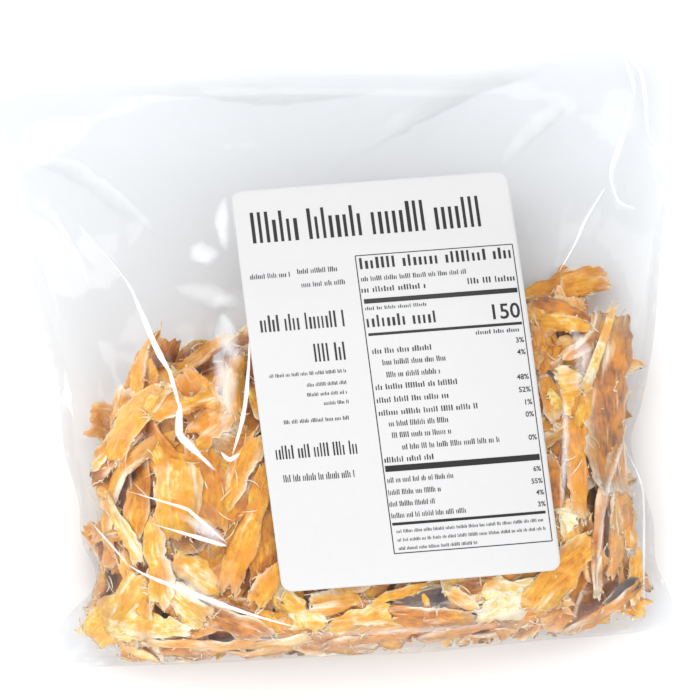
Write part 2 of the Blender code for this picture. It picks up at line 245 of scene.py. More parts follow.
# Each line of strokes: (left, right, foot, height, stroke width).
PRINT_LINES = (
    (-45.0, 40.6, 53.2, 13.2, 1.25),
    (-47.6, -33.0, 38.6, 2.0, 0.34),
    (-30.5, -15.6, 39.4, 2.0, 0.34),
    (-29.6, -13.8, 34.0, 2.0, 0.34),
    (-46.2, -14.8, 18.0, 6.2, 0.72),
    (-28.2, -16.8, 5.8, 6.6, 0.72),
    (-45.2, -17.6, 1.2, 1.3, 0.26),
    (-32.3, -18.0, -3.0, 1.3, 0.26),
    (-32.6, -18.0, -6.5, 1.3, 0.26),
    (-27.0, -17.8, -10.0, 1.3, 0.26),
    (-42.2, -18.6, -15.8, 1.4, 0.28),
    (-46.6, -16.4, -28.3, 4.9, 0.56),
    (-45.0, -19.4, -36.6, 2.6, 0.34),
    (-7.8, 47.8, 39.4, 4.5, 0.95),
    (-8.0, 30.1, 34.5, 1.9, 0.34),
    (-8.4, 15.6, 30.1, 2.1, 0.5),
    (30.2, 48.2, 30.4, 2.3, 0.55),
    (-7.9, 14.7, 23.3, 1.3, 0.34),
    (-8.0, 18.2, 16.9, 4.4, 0.9),
    (30.6, 47.4, 11.2, 1.5, 0.4),
    (-7.4, 14.0, 7.0, 2.0, 0.44),
    (-4.3, 19.5, 2.7, 2.0, 0.34),
    (-3.4, 16.0, -1.8, 2.0, 0.34),
    (-7.9, 21.5, -6.1, 2.0, 0.44),
    (-8.1, 18.5, -10.8, 2.0, 0.44),
    (-8.0, 28.0, -15.4, 2.0, 0.44),
    (-4.9, 16.4, -19.5, 2.0, 0.34),
    (-4.3, 17.0, -23.7, 2.0, 0.34),
    (-1.2, 34.0, -28.1, 2.0, 0.34),
    (-8.2, 9.6, -32.4, 2.0, 0.44),
    (-8.1, 16.0, -39.7, 1.9, 0.3),
    (-8.3, 11.0, -44.1, 1.9, 0.3),
    (-8.5, 9.0, -48.3, 1.9, 0.3),
    (-8.3, 18.6, -52.5, 1.9, 0.3),
    (-7.2, 46.8, -57.9, 1.2, 0.24),
    (-7.2, 46.8, -61.0, 1.2, 0.24),
    (-7.2, 22.0, -64.1, 1.2, 0.24),
)
# Plain numbers at the ends of the table's lines, against one right edge: (number, foot, height).
NUMBERS_RIGHT = 48.0
PRINT_NUMBERS = (
    ("150", 16.4, 5.6),
    ("3%", 7.2, 1.9),
    ("4%", 2.8, 1.9),
    ("48%", -6.2, 1.9),
    ("52%", -10.8, 1.9),
    ("1%", -15.4, 1.9),
    ("0%", -19.8, 1.9),
    ("0%", -28.2, 1.9),
    ("6%", -39.6, 1.8),
    ("55%", -44.0, 1.8),
    ("4%", -48.2, 1.8),
    ("3%", -52.4, 1.8),
)
# The strokes: their pitch as a share of their width, the length of words, how high a low one is, and how many
# are tall.
STROKE_PITCH = 2.05
LONGEST_WORD = 9
SHORTEST_WORD = 3
LOW_STROKE = 0.72
TALL_SHARE = 0.45

# The film's own grid and its sharp creases: (points in mm, height in mm, half width in mm).
FILM_STEPS = (236, 204)
CREASE_POINTS = 40
CREASES = (
    (((-102, 64), (-89, 46), (-78, 31), (-70, 12), (-65, 5), (-62, -12), (-64, -25), (-52, -40)), 0.8, 1.5),
    (((-99, -52), (-86, -68), (-79, -74), (-60, -83), (-43, -90), (-24, -98)), 0.7, 1.5),
    (((-90, -42), (-75, -47), (-62, -51), (-54, -57), (-48, -65)), 0.7, 1.3),
    (((-47, 14), (-45, -8), (-44, -25), (-43, -35), (-40, -26), (-36, -8), (-35, 6)), 0.7, 1.4),
    (((78, 21), (86, 36), (96, 51)), 0.7, 1.4),
    (((111, 84), (104, 65), (101, 50), (110, 44)), 0.7, 1.4),
    (((109, 103), (113, 89), (116, 80), (116, 67)), 0.7, 1.4),
    (((96, -40), (87, -59), (82, -87)), 0.8, 1.6),
)

# Painted highlights on the film: white lines along its creases, and soft bands that are painted reflections
# of the lamps: (points in mm, greatest width in mm, whiteness, share of the way to the widest place, fade).
# A fade of 0 is crisp on both sides, 1 on the left side only, -1 on the right side only, and 2 is soft on
# both.
PAINTED_HIGHLIGHT_LINES = (
    (((-104, 66), (-91, 48), (-79, 31), (-74, 19), (-69, 5), (-64, -5)), 2.4, 0.78, 0.84, 0),
    (((-69, 7), (-65, -4), (-62, -19)), 1.5, 0.78, 0.6, 0),
    (((-62, -14), (-63, -21), (-63, -26), (-59, -31), (-51, -40)), 3.3, 0.7, 0.38, 0),
    (((-90, -43), (-80, -46), (-64, -52), (-60, -55), (-49, -66)), 1.5, 0.78, 0.7, 0),
    (((-81, -55), (-65, -61), (-57, -64), (-49, -67)), 2.0, 0.78, 0.75, 0),
    (((-68, -53), (-58, -59), (-49, -67)), 7.0, 0.42, 0.6, 2),
    (((-98, -56), (-92, -63), (-86, -71)), 0.9, 0.74, 0.5, 0),
    (((-86, -71), (-80, -75), (-67, -81), (-43, -92), (-24, -99)), 1.8, 0.78, 0.42, 0),
    (((-75, -76), (-64, -82), (-51, -89)), 6.5, 0.21, 0.45, 2),
    (((-45, 17), (-44, 6), (-45, -6), (-46, -20), (-47, -34)), 10.5, 0.38, 0.34, 2),
    (((-35, 13), (-37, -5), (-40, -21), (-45, -35)), 1.8, 0.66, 0.6, 0),
    (((-49, -33), (-46, -36), (-42, -34)), 1.8, 0.74, 0.5, 0),
    (((-114, 79), (-99, 75), (-87, 66), (-76, 56), (-65, 45)), 8.0, 0.13, 0.4, 1),
    (((-63, 29), (-51, 24), (-36, 19)), 9.4, 0.19, 0.5, 2),
    (((-55, 42), (-51, 39), (-44, 36)), 10.0, 0.3, 0.45, 2),
    (((-41, 60), (-43, 50), (-42, 38)), 6.0, 0.3, 0.5, 2),
    (((-105, 60), (-101, 50), (-96, 40), (-91, 24)), 4.0, 0.13, 0.3, 2),
    (((-104, 1), (-104, -9), (-102, -18)), 3.6, 0.3, 0.5, 2),
    (((108, 102), (111, 91), (111, 85)), 1.8, 0.7, 0.6, -1),
    (((109, 101), (114, 94), (115, 83), (115, 72), (117, 67)), 1.5, 0.74, 0.4, 0),
    (((111, 83), (106, 71), (101, 60), (100, 54), (102, 47)), 3.0, 0.74, 0.45, -1),
    (((100, 54), (102, 47), (108, 44)), 0.9, 0.74, 0.5, 0),
    (((97, 52), (89, 41), (84, 32), (77, 22)), 1.1, 0.7, 0.35, 0),
    (((97, 91), (75, 78), (58, 62)), 8.0, 0.09, 0.6, 2),
    (((76, 97), (50, 93), (24, 82), (-2, 65)), 9.4, 0.06, 0.5, 2),
    (((97, -40), (90, -54), (86, -68), (84, -80), (81, -92)), 2.9, 0.3, 0.35, 1),
    (((97, -42), (103, -58), (102, -79), (101, -94), (101, -104)), 1.1, 0.33, 0.5, 0),
    (((74, -35), (74, -49), (72, -60)), 2.5, 0.15, 0.5, 2),
    (((76, -22), (75, -40), (71, -67)), 3.4, 0.3, 0.4, 2),
    (((80, 4), (84, -8), (80, -22)), 7.0, 0.22, 0.5, 2),
    (((-117, 67), (-111, 48), (-106, 26), (-104, 11)), 3.3, 0.09, 0.5, 2),
    (((-80, 100), (-51, 100), (-18, 95), (18, 95)), 7.2, 0.05, 0.5, 2),
    (((-62, -101), (-18, -102), (29, -103), (69, -104)), 3.3, 0.13, 0.5, 2),
)
STRIP_STEPS = (44, 8)
STRIP_RAISE = (0.05, 0.12)

# The camera looks straight down. The bag lies turned a little, and its far left corner is out of view.
CAMERA_HEIGHT = 2.2
VIEW_WIDTH = 0.2569
VIEW_TURN = math.radians(4.2)
SENSOR = 36.0
SEAM_HEIGHT = 0.008

# The finishes' own sizes: in cm for the fish, whose UV map is in cm, and in m for film and paper.
MUSCLE_STRETCH = (0.55, 2.6, 1.0)
FIBRES_PER_CM = 3.2
BLOTCHES_PER_CM = 1.0
MOTTLES_PER_CM = 3.4
CRINKLE_SIZE = 0.022
FILM_IOR = 1.42
MOST_MIRRORED = 0.13
MOTTLE_SIZE = 0.004
TOOTH_SIZE = 0.0006

# The stops of the colours of flesh and skin, and the skin's patches: warm, cool and pale.
FLESH_STOPS = (
    (0.0, "#5A2C12"), (0.16, "#8C4C18"), (0.32, "#B66C1A"), (0.47, "#D28416"),
    (0.61, "#E89E18"), (0.76, "#F4B432"), (0.9, "#FAD47E"), (1.0, "#FFEDC6"),
)
SKIN_STOPS = ((0.0, "#2A2226"), (0.3, "#473A3C"), (0.55, "#6C544E"), (0.8, "#8C6A58"), (1.0, "#A88468"))
SKIN_PATCHES = ("#7A6258", "#5A4A50", "#D2B494")

# Each lamp is (name, place in m, size in m, power in W).
LAMPS = (
    ("top_softbox", (-0.35, 1.53, 2.34), (2.9, 1.45), 32.0),
    ("left_softbox", (-2.8, 0.28, 1.4), (1.1, 2.5), 28.0),
    ("right_softbox", (2.0, -0.2, 0.9), (0.7, 1.6), 7.0),
    ("front_softbox", (-0.2, -2.0, 0.9), (1.6, 0.7), 20.0),
)
WORLD_LIGHT = 1.04

# Even random numbers, from which the smooth noise is read.
LATTICE = np.random.default_rng(11).random((48, 48, 48))


def linear(hex_colour):
    """An sRGB hex colour as linear red, green, blue and alpha."""
    parts = [int(hex_colour[i : i + 2], 16) / 255 for i in (1, 3, 5)]
    return (*[c / 12.92 if c <= 0.04045 else ((c + 0.055) / 1.055) ** 2.4 for c in parts], 1.0)


def wander(x, y, z=0.0):
    """Smooth noise between -1 and 1 at points of space."""
    place = np.stack(np.broadcast_arrays(x, y, z), axis=-1).astype(float)
    cell = np.floor(place).astype(int)
    share = place - cell
    share = share * share * (3 - 2 * share)
    total = 0.0
    for corner in np.ndindex(2, 2, 2):
        near = np.where(np.array(corner) == 1, share, 1 - share).prod(axis=-1)
        at = (cell + np.array(corner)) % LATTICE.shape[0]
        total = total + near * LATTICE[at[..., 0], at[..., 1], at[..., 2]]
    return 2 * total - 1


def smooth_step(low, high, value):
    share = np.clip((value - low) / (high - low), 0, 1)
    return share * share * (3 - 2 * share)


def rounded(share, power):
    """1 where the share is 0, falling to 0 where it is 1: the greater the power, the more suddenly."""
    return np.sqrt(np.clip(1 - share**power, 0, 1))


def unit(directions):
    return directions / np.maximum(np.linalg.norm(directions, axis=-1, keepdims=True), 1e-6)


def turned(one, other, angle):
    """Two directions at right angles, turned by an angle in their own plane."""
    return one * np.cos(angle) + other * np.sin(angle), other * np.cos(angle) - one * np.sin(angle)


def between(points, share):
    """A point along a smooth curve through the points, at a share of their length."""
    points = [Vector(p) for p in points]
    lengths = [(b - a).length for a, b in zip(points, points[1:])]
    rest = min(max(share, 0.0), 1.0) * sum(lengths)
    index = 0
    while index < len(lengths) - 1 and rest > lengths[index]:
        rest -= lengths[index]
        index += 1
    before = points[max(index - 1, 0)]
    after = points[min(index + 2, len(points) - 1)]
    start, end = points[index], points[index + 1]
    u = rest / lengths[index]
    leave, arrive = (end - before) / 2, (after - start) / 2
    return (
        start * (2 * u**3 - 3 * u**2 + 1)
        + leave * (u**3 - 2 * u**2 + u)
        + end * (3 * u**2 - 2 * u**3)
        + arrive * (u**3 - u**2)
    )


def curve_points(points, shares):
    """Points along a smooth curve through the points given, at shares of its length."""
    return np.array([between(points, share) for share in shares])


def plan_points(s, t):
    """Places on the table, in mm, for shares across (s) and up (t) the flat bag, in two equal arrays."""
    across, at_across = np.unique(s, return_inverse=True)
    up, at_up = np.unique(t, return_inverse=True)
    left, right = curve_points(LEFT_EDGE, up)[at_up], curve_points(RIGHT_EDGE, up)[at_up]
    bottom, top = curve_points(BOTTOM_EDGE, across)[at_across], curve_points(TOP_EDGE, across)[at_across]
    s, t = s[:, None], t[:, None]
    low_left, high_left = np.array(LEFT_EDGE[0]), np.array(LEFT_EDGE[-1])
    low_right, high_right = np.array(RIGHT_EDGE[0]), np.array(RIGHT_EDGE[-1])
    corners = (
        low_left * (1 - s) * (1 - t) + low_right * s * (1 - t) + high_left * (1 - s) * t + high_right * s * t
    )
    return left * (1 - s) + right * s + bottom * (1 - t) + top * t - corners


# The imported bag's shape


class Relief:
    """Heights in mm over the table, read between the points of the survey's grid."""

    def __init__(self, heights):
        self.heights = heights

    def at(self, x, y):
        h = self.heights
        rows, columns = h.shape
        i = np.clip((x - SURVEY_START[0]) / SURVEY_STEP, 0, columns - 1.001)
        j = np.clip((y - SURVEY_START[1]) / SURVEY_STEP, 0, rows - 1.001)
        ci, cj = i.astype(int), j.astype(int)
        fi, fj = i - ci, j - cj
        near = h[cj, ci] * (1 - fi) + h[cj, ci + 1] * fi
        far = h[cj + 1, ci] * (1 - fi) + h[cj + 1, ci + 1] * fi
        return near * (1 - fj) + far * fj


def softened(heights, passes):
    """A grid of heights with each evened out between its neighbours."""
    for _ in range(passes):
        padded = np.pad(heights, 1, mode="edge")
        around = padded[:-2, 1:-1] + padded[2:, 1:-1] + padded[1:-1, :-2] + padded[1:-1, 2:]
        heights = heights * 0.5 + around * 0.125
    return heights


def carried_on(heights):
    """A grid of heights carried on past the bag's edge, where they are missing."""
    heights = heights.copy()
    for _ in range(CARRY_ROUNDS):
        missing = np.isnan(heights)
        padded = np.pad(heights, 1, constant_values=np.nan)
        around = np.stack([padded[:-2, 1:-1], padded[2:, 1:-1], padded[1:-1, :-2], padded[1:-1, 2:]])
        known = ~np.isnan(around)
        mean = np.where(known, around, 0).sum(0) / np.maximum(known.sum(0), 1)
        heights[missing & known.any(0)] = mean[missing & known.any(0)]
    return np.nan_to_num(heights, nan=FAR_HEIGHT)


class Bag:
    """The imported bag's shape, read once, in mm on the plan that the outline is given in."""

    def __init__(self):
        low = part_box("bag")[0]
        shares = np.linspace(0, 1, OUTLINE_POINTS)
        outline = [curve_points(edge, shares) for edge in (LEFT_EDGE, RIGHT_EDGE, BOTTOM_EDGE, TOP_EDGE)]
        self.shift = np.array([low.x / MM, low.y / MM]) - np.concatenate(outline).min(axis=0)
        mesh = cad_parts["bag"].data
        mesh.calc_loop_triangles()
        tree = BVHTree.FromPolygons(
            [v.co.copy() for v in mesh.vertices], [tuple(tri.vertices) for tri in mesh.loop_triangles]
        )
        over, under = np.full(SURVEY_SIZE, np.nan), np.full(SURVEY_SIZE, np.nan)
        for row, column in np.ndindex(*SURVEY_SIZE):
            x, y = (np.array(SURVEY_START) + self.shift + SURVEY_STEP * np.array([column, row])) * MM
            top = tree.ray_cast(Vector((x, y, 0.2)), Vector((0, 0, -1)))[0]
            bottom = tree.ray_cast(Vector((x, y, -0.1)), Vector((0, 0, 1)))[0]
            if top is not None and bottom is not None:
                over[row, column], under[row, column] = top.z / MM, bottom.z / MM
        self.over = Relief(softened(carried_on(over), 2))
        self.under = Relief(carried_on(under))
        self.room = Relief(np.nan_to_num(over - under))

    def to_row(self, points):
        """Points in mm on the plan as points in metres in the frame."""
        return (np.array(points, float) + [*self.shift, 0]) * MM

    def to_plan(self, points):
        """Points in metres in the frame as points in mm on the plan."""
        return points / MM - [*self.shift, 0]


def skyline(x):
    return np.interp(x, SKYLINE_X, SKYLINE_Y)


def heap_top(bag, x, y):
    """The surface of the heap of fish, which fills the bag's full part and falls away up the bag."""
    low, high = bag.under.at(x, y), bag.over.at(x, y) - HEAP_GAP
    down = np.clip((skyline(x) - y) / HEAP_SLOPE, 0, 1)
    full = np.sqrt(1 - (1 - down) ** 2.2)
    dips = np.maximum(wander(x / DIP_SIZE, y / DIP_SIZE, 3.3), 0) * DIP_DEPTH
    return np.maximum(low + (high - low) * full - dips, low + 1)


def heap_normal(bag, x, y, reach=6.0):
    """The direction that the heap faces, averaged over a piece's width."""
    dx = (heap_top(bag, x + reach, y) - heap_top(bag, x - reach, y)) / (2 * reach)
    dy = (heap_top(bag, x, y + reach) - heap_top(bag, x, y - reach)) / (2 * reach)
    return unit(np.stack([-np.clip(dx, -1, 1), -np.clip(dy, -1, 1), np.ones_like(dx)], -1))


# Meshes that are made from one template


def template(steps, name="template"):
    """Two sheets of a unit square, one over the other and joined at the rim, as a mesh."""
    bm = bmesh.new()
    for side in (1, -1):
        made = bmesh.ops.create_grid(bm, x_segments=steps[0], y_segments=steps[1], size=0.5)
        bmesh.ops.translate(bm, verts=made["verts"], vec=(0, 0, side))
    bmesh.ops.bridge_loops(bm, edges=[edge for edge in bm.edges if edge.is_boundary])
    bmesh.ops.recalc_face_normals(bm, faces=bm.faces)
    return finished(bm, name)


def finished(bm, name):
    mesh = bpy.data.meshes.new(name)
    bm.to_mesh(mesh)
    bm.free()
    return mesh


def coordinates(mesh):
    values = np.zeros(len(mesh.vertices) * 3)
    mesh.vertices.foreach_get("co", values)
    return values.reshape(-1, 3)


def grid_line(form, steps, axis=0):
    """The line of the template's grid that each of its points is on, counted along an axis."""
    return np.rint((form[:, axis] + 0.5) * steps[axis]).astype(int)


def repeated(mesh, count, name):
    """One mesh that holds count copies of another."""
    bm = bmesh.new()
    for _ in range(count):
        bm.from_mesh(mesh)
    return finished(bm, name)


def fill(collection, field, values):
    collection.foreach_set(field, np.ascontiguousarray(values, dtype=np.float32).ravel())


def set_shape(mesh, points, uv, **attributes):
    """Moves a mesh's vertices and gives it a UV map and named values at its points."""
    fill(mesh.vertices, "co", points)
    corners = np.zeros(len(mesh.loops), int)
    mesh.loops.foreach_get("vertex_index", corners)
    fill(mesh.uv_layers.new(name="UVMap").data, "uv", uv[corners])
    for name, values in attributes.items():
        fill(mesh.attributes.new(name, "FLOAT", "POINT").data, "value", values)
    mesh.shade_smooth()
    mesh.update()


def linked(name, data):
    """A new object of the scene."""
    obj = bpy.data.objects.new(name, data)
    bpy.context.scene.collection.objects.link(obj)
    return obj


def add_piece(mesh, material, node):
    """Makes a finished mesh a piece that rides with the bag and stands for a node."""
    obj = linked(mesh.name, mesh)
    obj.data.materials.append(material)
    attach(obj, "root")
    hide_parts(node)


# Fish


def headings(angle):
    """Level directions at angles from the X axis."""
    return np.stack([np.cos(angle), np.sin(angle), np.zeros_like(angle)], -1)


def frames_along(steps, kind):
    """Middle line and directions of strips: points, forward, across and out, each (count, steps + 1, 3)."""
    share = np.linspace(-0.5, 0.5, steps + 1)[None, :]
    pitch, turn, roll = (kind[name][:, None] * share for name in ("bend", "curve", "twist"))
    forward = np.stack([np.cos(turn) * np.cos(pitch), np.sin(turn) * np.cos(pitch), np.sin(pitch)], -1)
    side = np.stack([-np.sin(turn), np.cos(turn), np.zeros_like(turn)], -1)
    across, out = turned(side, np.cross(forward, side), roll[..., None])
    middle = (forward[:, 1:] + forward[:, :-1]) / 2 * (kind["length"] / steps)[:, None, None]
    line = np.concatenate([np.zeros((len(middle), 1, 3)), np.cumsum(middle, axis=1)], axis=1)
    line -= line.mean(axis=1, keepdims=True)
    return line, forward, across, out


def flake_shapes(form, steps, rng, kind):
    """Local points in mm, UV and edge values of torn flakes of the sizes given, all from one template."""
    column = grid_line(form, steps)
    u, side = form[:, 0][None], form[:, 2][None]
    v = 0.5 * np.sin(math.pi * form[:, 1])[None]
    to_end, to_side = np.abs(2 * u), np.abs(2 * v)
    line, forward, across, out = frames_along(steps[0], kind)
    size = {name: values[:, None] for name, values in kind.items()}
    key = rng.random((len(line), 1)) * 40
    along = u * size["length"]

    def rough(value, seed, level=0):
        return wander(value + key, key + level, seed)

    def torn_edge(seed):
        waves = 1.4 * rough(along / 15, seed) + rough(along / 5, seed + 1) + 0.7 * rough(along / 2, seed + 2)
        return 1 + size["torn"] * waves

    taper = 1 - size["taper"] * np.abs(2 * u + size["lop"]) ** 2.4 / 2.4
    taper = taper * (1 - size["round"] * to_end**5)
    half = np.clip(taper, 0.06, 1.3) * np.where(v < 0, torn_edge(1.5), torn_edge(4.5)) * size["width"]
    reach = v * half
    shreds = rough(reach / 3.4, 7.5) + 0.7 * rough(reach / 1.5, 8.5, u > 0)
    frayed = to_end**4 * size["fray"] * (shreds + 0.5 * rough(reach / 0.8, 8.9, u > 0))

    def lumps(length, width, seed):
        """Noise over the flake, with lumps of a length and width in mm."""
        return wander(along / length + key, reach / width, seed)

    angle = size["cup"] * v * 2
    angle = np.where(np.abs(angle) < 1e-4, 1e-4, angle)
    radius = reach / angle
    y = radius * np.sin(angle)
    swell = size["wave"] * lumps(15, 10, 9.5)
    crumple = size["crumple"] * (lumps(6, 4, 10.5) + 0.4 * lumps(2.8, 2.1, 10.9))
    ruffle = size["ruffle"] * to_side**3 * wander(along / 4.5 + key, v * 1.3, 11.5)
    rim = rounded(to_side, 2.8) * rounded(to_end, 5)
    ridge = size["ridge"] * rim * (lumps(16, 1.6, 12.5) + 0.6 * lumps(9, 0.8, 13.5))
    uneven = 0.8 + 0.65 * lumps(10, 6, 14.5) + 0.25 * lumps(4.5, 3, 16.5)
    thick = 0.2 + size["thick"] * rim * np.clip(uneven, 0.15, 1.6)
    z = radius * (1 - np.cos(angle)) + swell + crumple + ruffle + side * thick / 2 + ridge

    local = (
        line[:, column]
        + forward[:, column] * frayed[..., None]
        + across[:, column] * y[..., None]
        + out[:, column] * z[..., None]
    )
    uv = np.stack([(along + frayed) / MM_PER_CM + key, reach / MM_PER_CM + key], -1)
    peak = smooth_step(0.5, 1.4, np.abs(crumple + ruffle)) * np.minimum(size["ruffle"], 1)
    rim_share = np.maximum(to_side**6, to_end**9)
    edge = np.clip(rim_share * (0.3 + 1.3 * rough(along / 8, 15.5, 1)) + 0.7 * peak, 0, 1)
    return local, uv, np.broadcast_to(edge, y.shape)


def placed(local, centre, ahead, normal, roll, pitch):
    """Turns local points to lie ahead on a surface with that normal, and moves them to the centre."""
    normal = unit(normal)
    ahead = unit(ahead - normal * (ahead * normal).sum(1, keepdims=True))
    side, normal = turned(np.cross(normal, ahead), normal, roll[:, None])
    ahead, normal = turned(ahead, normal, pitch[:, None])
    along, across, out = (local[..., k, None] for k in range(3))
    return along * ahead[:, None] + across * side[:, None] + out * normal[:, None] + centre[:, None]


def pressed(value, limit, softness):
    """A value held softly under a limit, so that what lies under another point stays under it."""
    return limit - softness * np.logaddexp(0, (limit - value) / softness)


def kept_inside(bag, points, inset):
    """Moves flakes in from the bag's edge, and holds them between the films, inset mm under the upper one."""
    for _ in range(EDGE_NUDGES):
        tight = (bag.room.at(points[..., 0], points[..., 1]) < TIGHTEST_ROOM).any(axis=1)
        if not tight.any():
            break
        way = HEAP_MIDDLE - points[tight].mean(axis=1)[:, :2]
        way[:, 0] = np.clip(way[:, 0], -MOST_ACROSS, MOST_ACROSS)
        points[tight, :, :2] += unit(way)[:, None] * EDGE_NUDGE
    x, y, z = (points[..., k] for k in range(3))
    inset = inset[:, None] * np.clip((bag.room.at(x, y) - TIGHTEST_ROOM) / FULL_INSET_ROOM, 0.12, 1)
    low = bag.under.at(x, y) + FILM_CLEARANCE
    high = np.maximum(bag.over.at(x, y) - FILM_CLEARANCE - inset, low + 0.5)
    points[..., 2] = -pressed(-pressed(z, high, 1.2), -low, 0.4)
    return points


def drawn_sizes(rng, count, **ranges):
    """Random sizes for count flakes, each drawn between the two numbers given."""
    return {name: rng.uniform(*limits, count) for name, limits in ranges.items()}


def core_mesh(bag):
    """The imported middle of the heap, that shows between the outer pieces."""
    mesh = template(CORE_STEPS, "fish_packed_core")
    form = coordinates(mesh)
    s, t, side = form[:, 0] + 0.5, form[:, 1] + 0.5, form[:, 2]
    y = HEAP_BOTTOM + t * (skyline(200 * s - 100) - 6 - HEAP_BOTTOM)
    edges = [np.interp(y, *np.array(edge).T[::-1]) for edge in (LEFT_EDGE, RIGHT_EDGE)]
    left = np.maximum(edges[0] + CORE_INSET, CORE_SIDES[0])
    right = np.minimum(edges[1] - CORE_INSET, CORE_SIDES[1])
    x = left + (right - left) * s
    top, bottom = heap_top(bag, x, y) - CORE_DEPTH, bag.under.at(x, y) + 3.0
    middle = (top + bottom) / 2
    rim = rounded(np.abs(2 * s - 1), 6) * rounded(np.abs(2 * t - 1), 6)
    half = np.maximum(top - middle, 0.5) * np.maximum(rim, 0.02)
    z = middle + side * half + rim * 1.6 * wander(x / 5, y / 9, side * 5)
    points = bag.to_row(np.stack([x, y, np.maximum(z, bag.under.at(x, y) + 1)], -1))
    tone = 0.5 + 0.4 * wander(x / 9, y / 9)
    set_shape(mesh, points, np.stack([x, y], -1) / MM_PER_CM, tone=tone, edge=x * 0)
    return mesh


def surface_samples(bag, mesh, rng, spacing, count):
    """Points in mm spread over a mesh, no closer than the spacing in mm, with their normals."""
    mesh.calc_loop_triangles()
    corners = coordinates(mesh)
    triangles = np.array([tuple(tri.vertices) for tri in mesh.loop_triangles])
    a, b, c = (corners[triangles[:, k]] for k in range(3))
    cross = np.cross(b - a, c - a)
    area = np.linalg.norm(cross, axis=1)
    chosen = rng.choice(len(area), size=count * 30, p=area / area.sum())
    p, q = rng.random((2, len(chosen), 1))
    beyond = p + q > 1
    p, q = np.where(beyond, 1 - p, p), np.where(beyond, 1 - q, q)
    found = a[chosen] * (1 - p - q) + b[chosen] * p + c[chosen] * q
    normals = cross[chosen] / area[chosen][:, None]
    kept = []
    for index in range(len(found)):
        if len(kept) == count:
            break
        if not kept or np.min(np.linalg.norm(found[kept] - found[index], axis=1)) > spacing * MM:
            kept.append(index)
    return bag.to_plan(found[kept]), normals[kept]


def scattered_flakes(bag, core, name, material, count, layer):
    """A layer of random flakes all over the heap, as one piece. Returns their points."""
    seed, spacing, lift, steps, tone = layer
    rng = np.random.default_rng(seed)
    places, normals = surface_samples(bag, core, rng, spacing, count)
    count = len(places)
    sizes = drawn_sizes(rng, count, **FLAKE_KIND)
    base = template(steps)
    local, uv, edge = flake_shapes(coordinates(base), steps, rng, sizes)
    upright = smooth_step(6, 34, skyline(places[:, 0]) - places[:, 1])
    heading = math.pi / 2 + rng.normal(0, 0.75, count) * (0.3 + 0.7 * upright)
    centre = places + normals * rng.uniform(*lift, count)[:, None]
    centre[:, 1] -= 9 * (1 - upright)
    roll, pitch = rng.normal(0, 0.3, count), rng.normal(0, 0.14, count)
    points = placed(local, centre, headings(heading), normals, roll, pitch)
    tones = np.clip(rng.normal(*tone, count), 0, 1)
    return flakes_piece(bag, name, base, points, uv, tones, edge, rng.uniform(*INSET, count), material)


def flakes_piece(bag, name, base, points, uv, tones, edge, inset, material, slot="fish_flesh"):
    """Joins placed flakes into one piece, inside the film, and darkens them with painted shade by how deep
    they lie.
    """
    points = kept_inside(bag, points, inset)
    mesh = repeated(base, len(points), name)
    x, y, z = (points[..., k] for k in range(3))
    # Painted shade: the tone is lowered for flakes that lie deep under the heap's surface, where shade falls.
    surface = np.minimum(bag.over.at(x, y), heap_top(bag, x, y) + 3)
    depth = np.minimum(surface - z, z - bag.under.at(x, y))
    tones = tones[:, None] - PAINTED_DEPTH_SHADE * smooth_step(*PAINTED_SHADE_DEPTHS, depth)
    set_shape(mesh, bag.to_row(points), uv.reshape(-1, 2), tone=tones, edge=edge)
    add_piece(mesh, material, "bag")
    return points


def top_pieces(bag, flesh, skin):
    """The large pieces that show on top of the heap, placed one by one. Returns their points."""
    rng = np.random.default_rng(5)
    base = template(TOP_STEPS)
    forms, start, end = (np.array([row[k] for row in TOP_PIECES]) for k in range(3))
    width, tone, depth, roll, cup = np.array([row[3:] for row in TOP_PIECES], float).T
    count = len(TOP_PIECES)
    way = end - start
    kind = dict(zip(FORM_SIZES, np.array([FORMS[form] for form in forms]).T))
    kind["length"] = np.hypot(*way.T) * 1.12
    kind["width"] = width * 1.15
    kind["cup"] = cup * rng.choice([-1, 1], count)
    kind["bend"] = rng.uniform(-0.5, 0.5, count)
    kind["curve"] = rng.uniform(-0.45, 0.45, count)
    kind["twist"] = rng.uniform(-0.5, 0.5, count)
    kind["taper"] = rng.uniform(0.1, 0.5, count) * np.where(forms == "stick", 0.2, 1)
    kind["lop"] = rng.uniform(-0.4, 0.4, count)
    local, uv, edge = flake_shapes(coordinates(base), TOP_STEPS, rng, kind)
    x, y = (start + end).T / 2
    surface = np.minimum(heap_top(bag, x, y) + 5, bag.over.at(x, y) - 1)
    centre = np.stack([x, y, surface - depth], -1)
    ahead = headings(np.arctan2(way[:, 1], way[:, 0]))
    points = placed(local, centre, ahead, heap_normal(bag, x, y), roll, rng.normal(0, 0.08, count))
    least, slope, most = TOP_INSET
    inset = np.clip(least + slope * depth, 0, most)
    dark = tone < SKIN_TONE
    tone = np.where(dark, tone, tone + TOP_LIFT)
    values = (points, uv, tone, edge, inset)
    kept = flakes_piece(bag, "fish_top_pieces", base, *[each[~dark] for each in values], flesh)
    flakes_piece(bag, "fish_top_skin", base, *[each[dark] for each in values], skin, "fish_skin")
    return kept


def fibres(bag, name, rng, centre, ahead, normal, length, width, material):
    """Thin strands of flesh, one at each centre, as one piece."""
    count = len(centre)
    base = template(FIBRE_STEPS)
    kind = drawn_sizes(rng, count, width=width, **FIBRE_KIND)
    kind["length"] = length
    local, uv, edge = flake_shapes(coordinates(base), FIBRE_STEPS, rng, kind)
    points = placed(local, centre, ahead, normal, rng.normal(0, 0.4, count), rng.normal(0, 0.3, count))
    tones = rng.uniform(0.72, 1.05, count)
    flakes_piece(bag, name, base, points, uv, tones, edge * 0.5 + 0.5, rng.uniform(0, 1, count), material)


